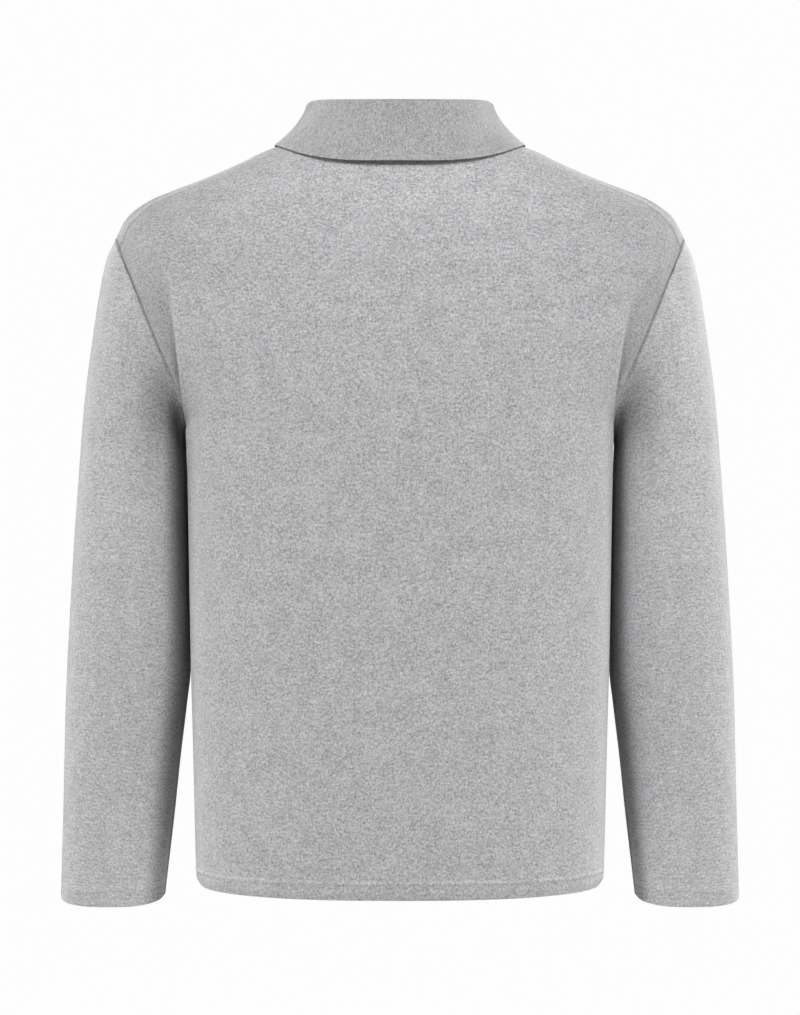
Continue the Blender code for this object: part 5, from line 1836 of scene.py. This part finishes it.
@dataclass(frozen=True)
class Studio:
    """A white studio with soft light from all round, a pale floor and the camera."""

    camera_place: tuple = (0.0, -2.5, -0.3225)
    lens: float = 100.76
    lit_height: float = -0.33
    white: tuple = (1.0, 1.0, 1.0, 1.0)
    white_seen: float = 0.985
    soft_light: float = 0.28
    floor_grey: tuple = (0.93, 0.93, 0.93, 1.0)
    floor_height: float = -1.42
    floor_radius: float = 2.3

    def build(self) -> None:
        """Set up the light, the floor and the camera."""
        scene = bpy.context.scene
        scene.view_settings.view_transform = "Standard"
        scene.view_settings.look = "None"
        self.sky(scene)
        self.floor()
        for lamp in LAMPS:
            self.hang(lamp)
        camera = bpy.data.cameras.new("camera")
        camera.lens = self.lens
        camera.sensor_width = 36.0
        camera.clip_start = 0.1
        camera.clip_end = 60.0
        scene.camera = placed("camera", camera, self.camera_place, (QUARTER_TURN, 0.0, 0.0))
        LOG.info("studio: camera, lamps and floor")

    def sky(self, scene: bpy.types.Scene) -> None:
        """White light from all round, seen brighter than it shines."""
        scene.world = bpy.data.worlds.new("white studio")
        scene.world.use_nodes = True
        tree = scene.world.node_tree
        seen, soft = tree.nodes["Background"], tree.nodes.new("ShaderNodeBackground")
        for light, strength in ((seen, self.white_seen), (soft, self.soft_light)):
            light.inputs["Color"].default_value = self.white
            light.inputs["Strength"].default_value = strength
        path = tree.nodes.new("ShaderNodeLightPath")
        mix = tree.nodes.new("ShaderNodeMixShader")
        for start, end in ((path.outputs["Is Camera Ray"], mix.inputs[0]),
                           (soft.outputs[0], mix.inputs[1]), (seen.outputs[0], mix.inputs[2]),
                           (mix.outputs[0], tree.nodes["World Output"].inputs["Surface"])):
            tree.links.new(start, end)

    def hang(self, lamp: Lamp) -> None:
        """Add a soft lamp that faces the garment."""
        aim = np.array([0.0, 0.0, self.lit_height]) - np.array(lamp.place)
        light = bpy.data.lights.new(lamp.name, 'AREA')
        light.size = lamp.size
        light.energy = lamp.light * float(aim @ aim) * math.pi ** 2
        placed(lamp.name, light, lamp.place, (math.atan2(math.hypot(aim[0], aim[1]), -aim[2]),
                                              0.0, math.atan2(aim[1], aim[0]) - QUARTER_TURN))

    def floor(self) -> None:
        """Lay a round pale floor well below the hanging garment."""
        shape = bmesh.new()
        bmesh.ops.create_circle(shape, cap_ends=True, segments=96, radius=self.floor_radius)
        mesh = mesh_of(shape, "pale_floor")
        bench = NodeBench("pale floor")
        bench.inputs["Base Color"].default_value = self.floor_grey
        bench.inputs["Roughness"].default_value = 0.85
        mesh.materials.append(bench.material)
        placed("pale_floor", mesh, (0.0, 0.0, self.floor_height))


def main() -> None:
    """Build the cardigan piece by piece, then the studio round it."""
    logging.basicConfig(level=logging.INFO, format="%(name)s: %(message)s")
    form = BodyForm()
    body_knit = HeatherKnit("heather knit")
    collar_knit = HeatherKnit("heather knit, collar", light=(0.615, 0.615, 0.627),
                              dark=(0.268, 0.268, 0.275), wale=2.1, wale_strength=1.0,
                              relief=0.36, hollow=0.64, mottle=1.15, grain=(1.30, 0.56),
                              slub=(1.0, 0.22))
    # The sleeves' knit is a lighter copy of the body's knit: painted light.
    lighter_sleeve_knit = HeatherKnit("heather knit, sleeves, painted lighter", light=(0.675, 0.675, 0.687),
                              dark=(0.285, 0.285, 0.292), mottle=1.15, grain=(0.72, 0.92),
                              slub=(0.25, 0.90))
    band_knit = HeatherKnit("heather knit, bands", wale=1.3, course=1.0, wale_strength=0.65)
    BackPanel(form, body_knit).build()
    fronts = {}
    for side, edge, fold, inner_shade_start, upper_arm_painted_light in (
            (Side.LEFT, 15.0, FRONT_LEFT_FOLD, 0.60, -0.04),
            (Side.RIGHT, 18.0, FRONT_RIGHT_FOLD, 0.71, 0.025)):
        fronts[side] = FrontPanel(form, body_knit, side=side, band_edge=edge, fold=fold)
        fronts[side].build()
        Sleeve(form, lighter_sleeve_knit, side, inner_shade_start=inner_shade_start, upper_arm_painted_light=upper_arm_painted_light).build()
    over_band = ButtonBand(fronts[Side.LEFT], band_knit, free_edge=14.0, lift=1.3)
    over_band.build()
    ButtonBand(fronts[Side.RIGHT], band_knit, free_edge=11.0, lift=-1.3).build()
    Collar(form, collar_knit).build()
    Fastening(over_band).build()
    Studio().build()


if __name__ == "__main__":
    main()
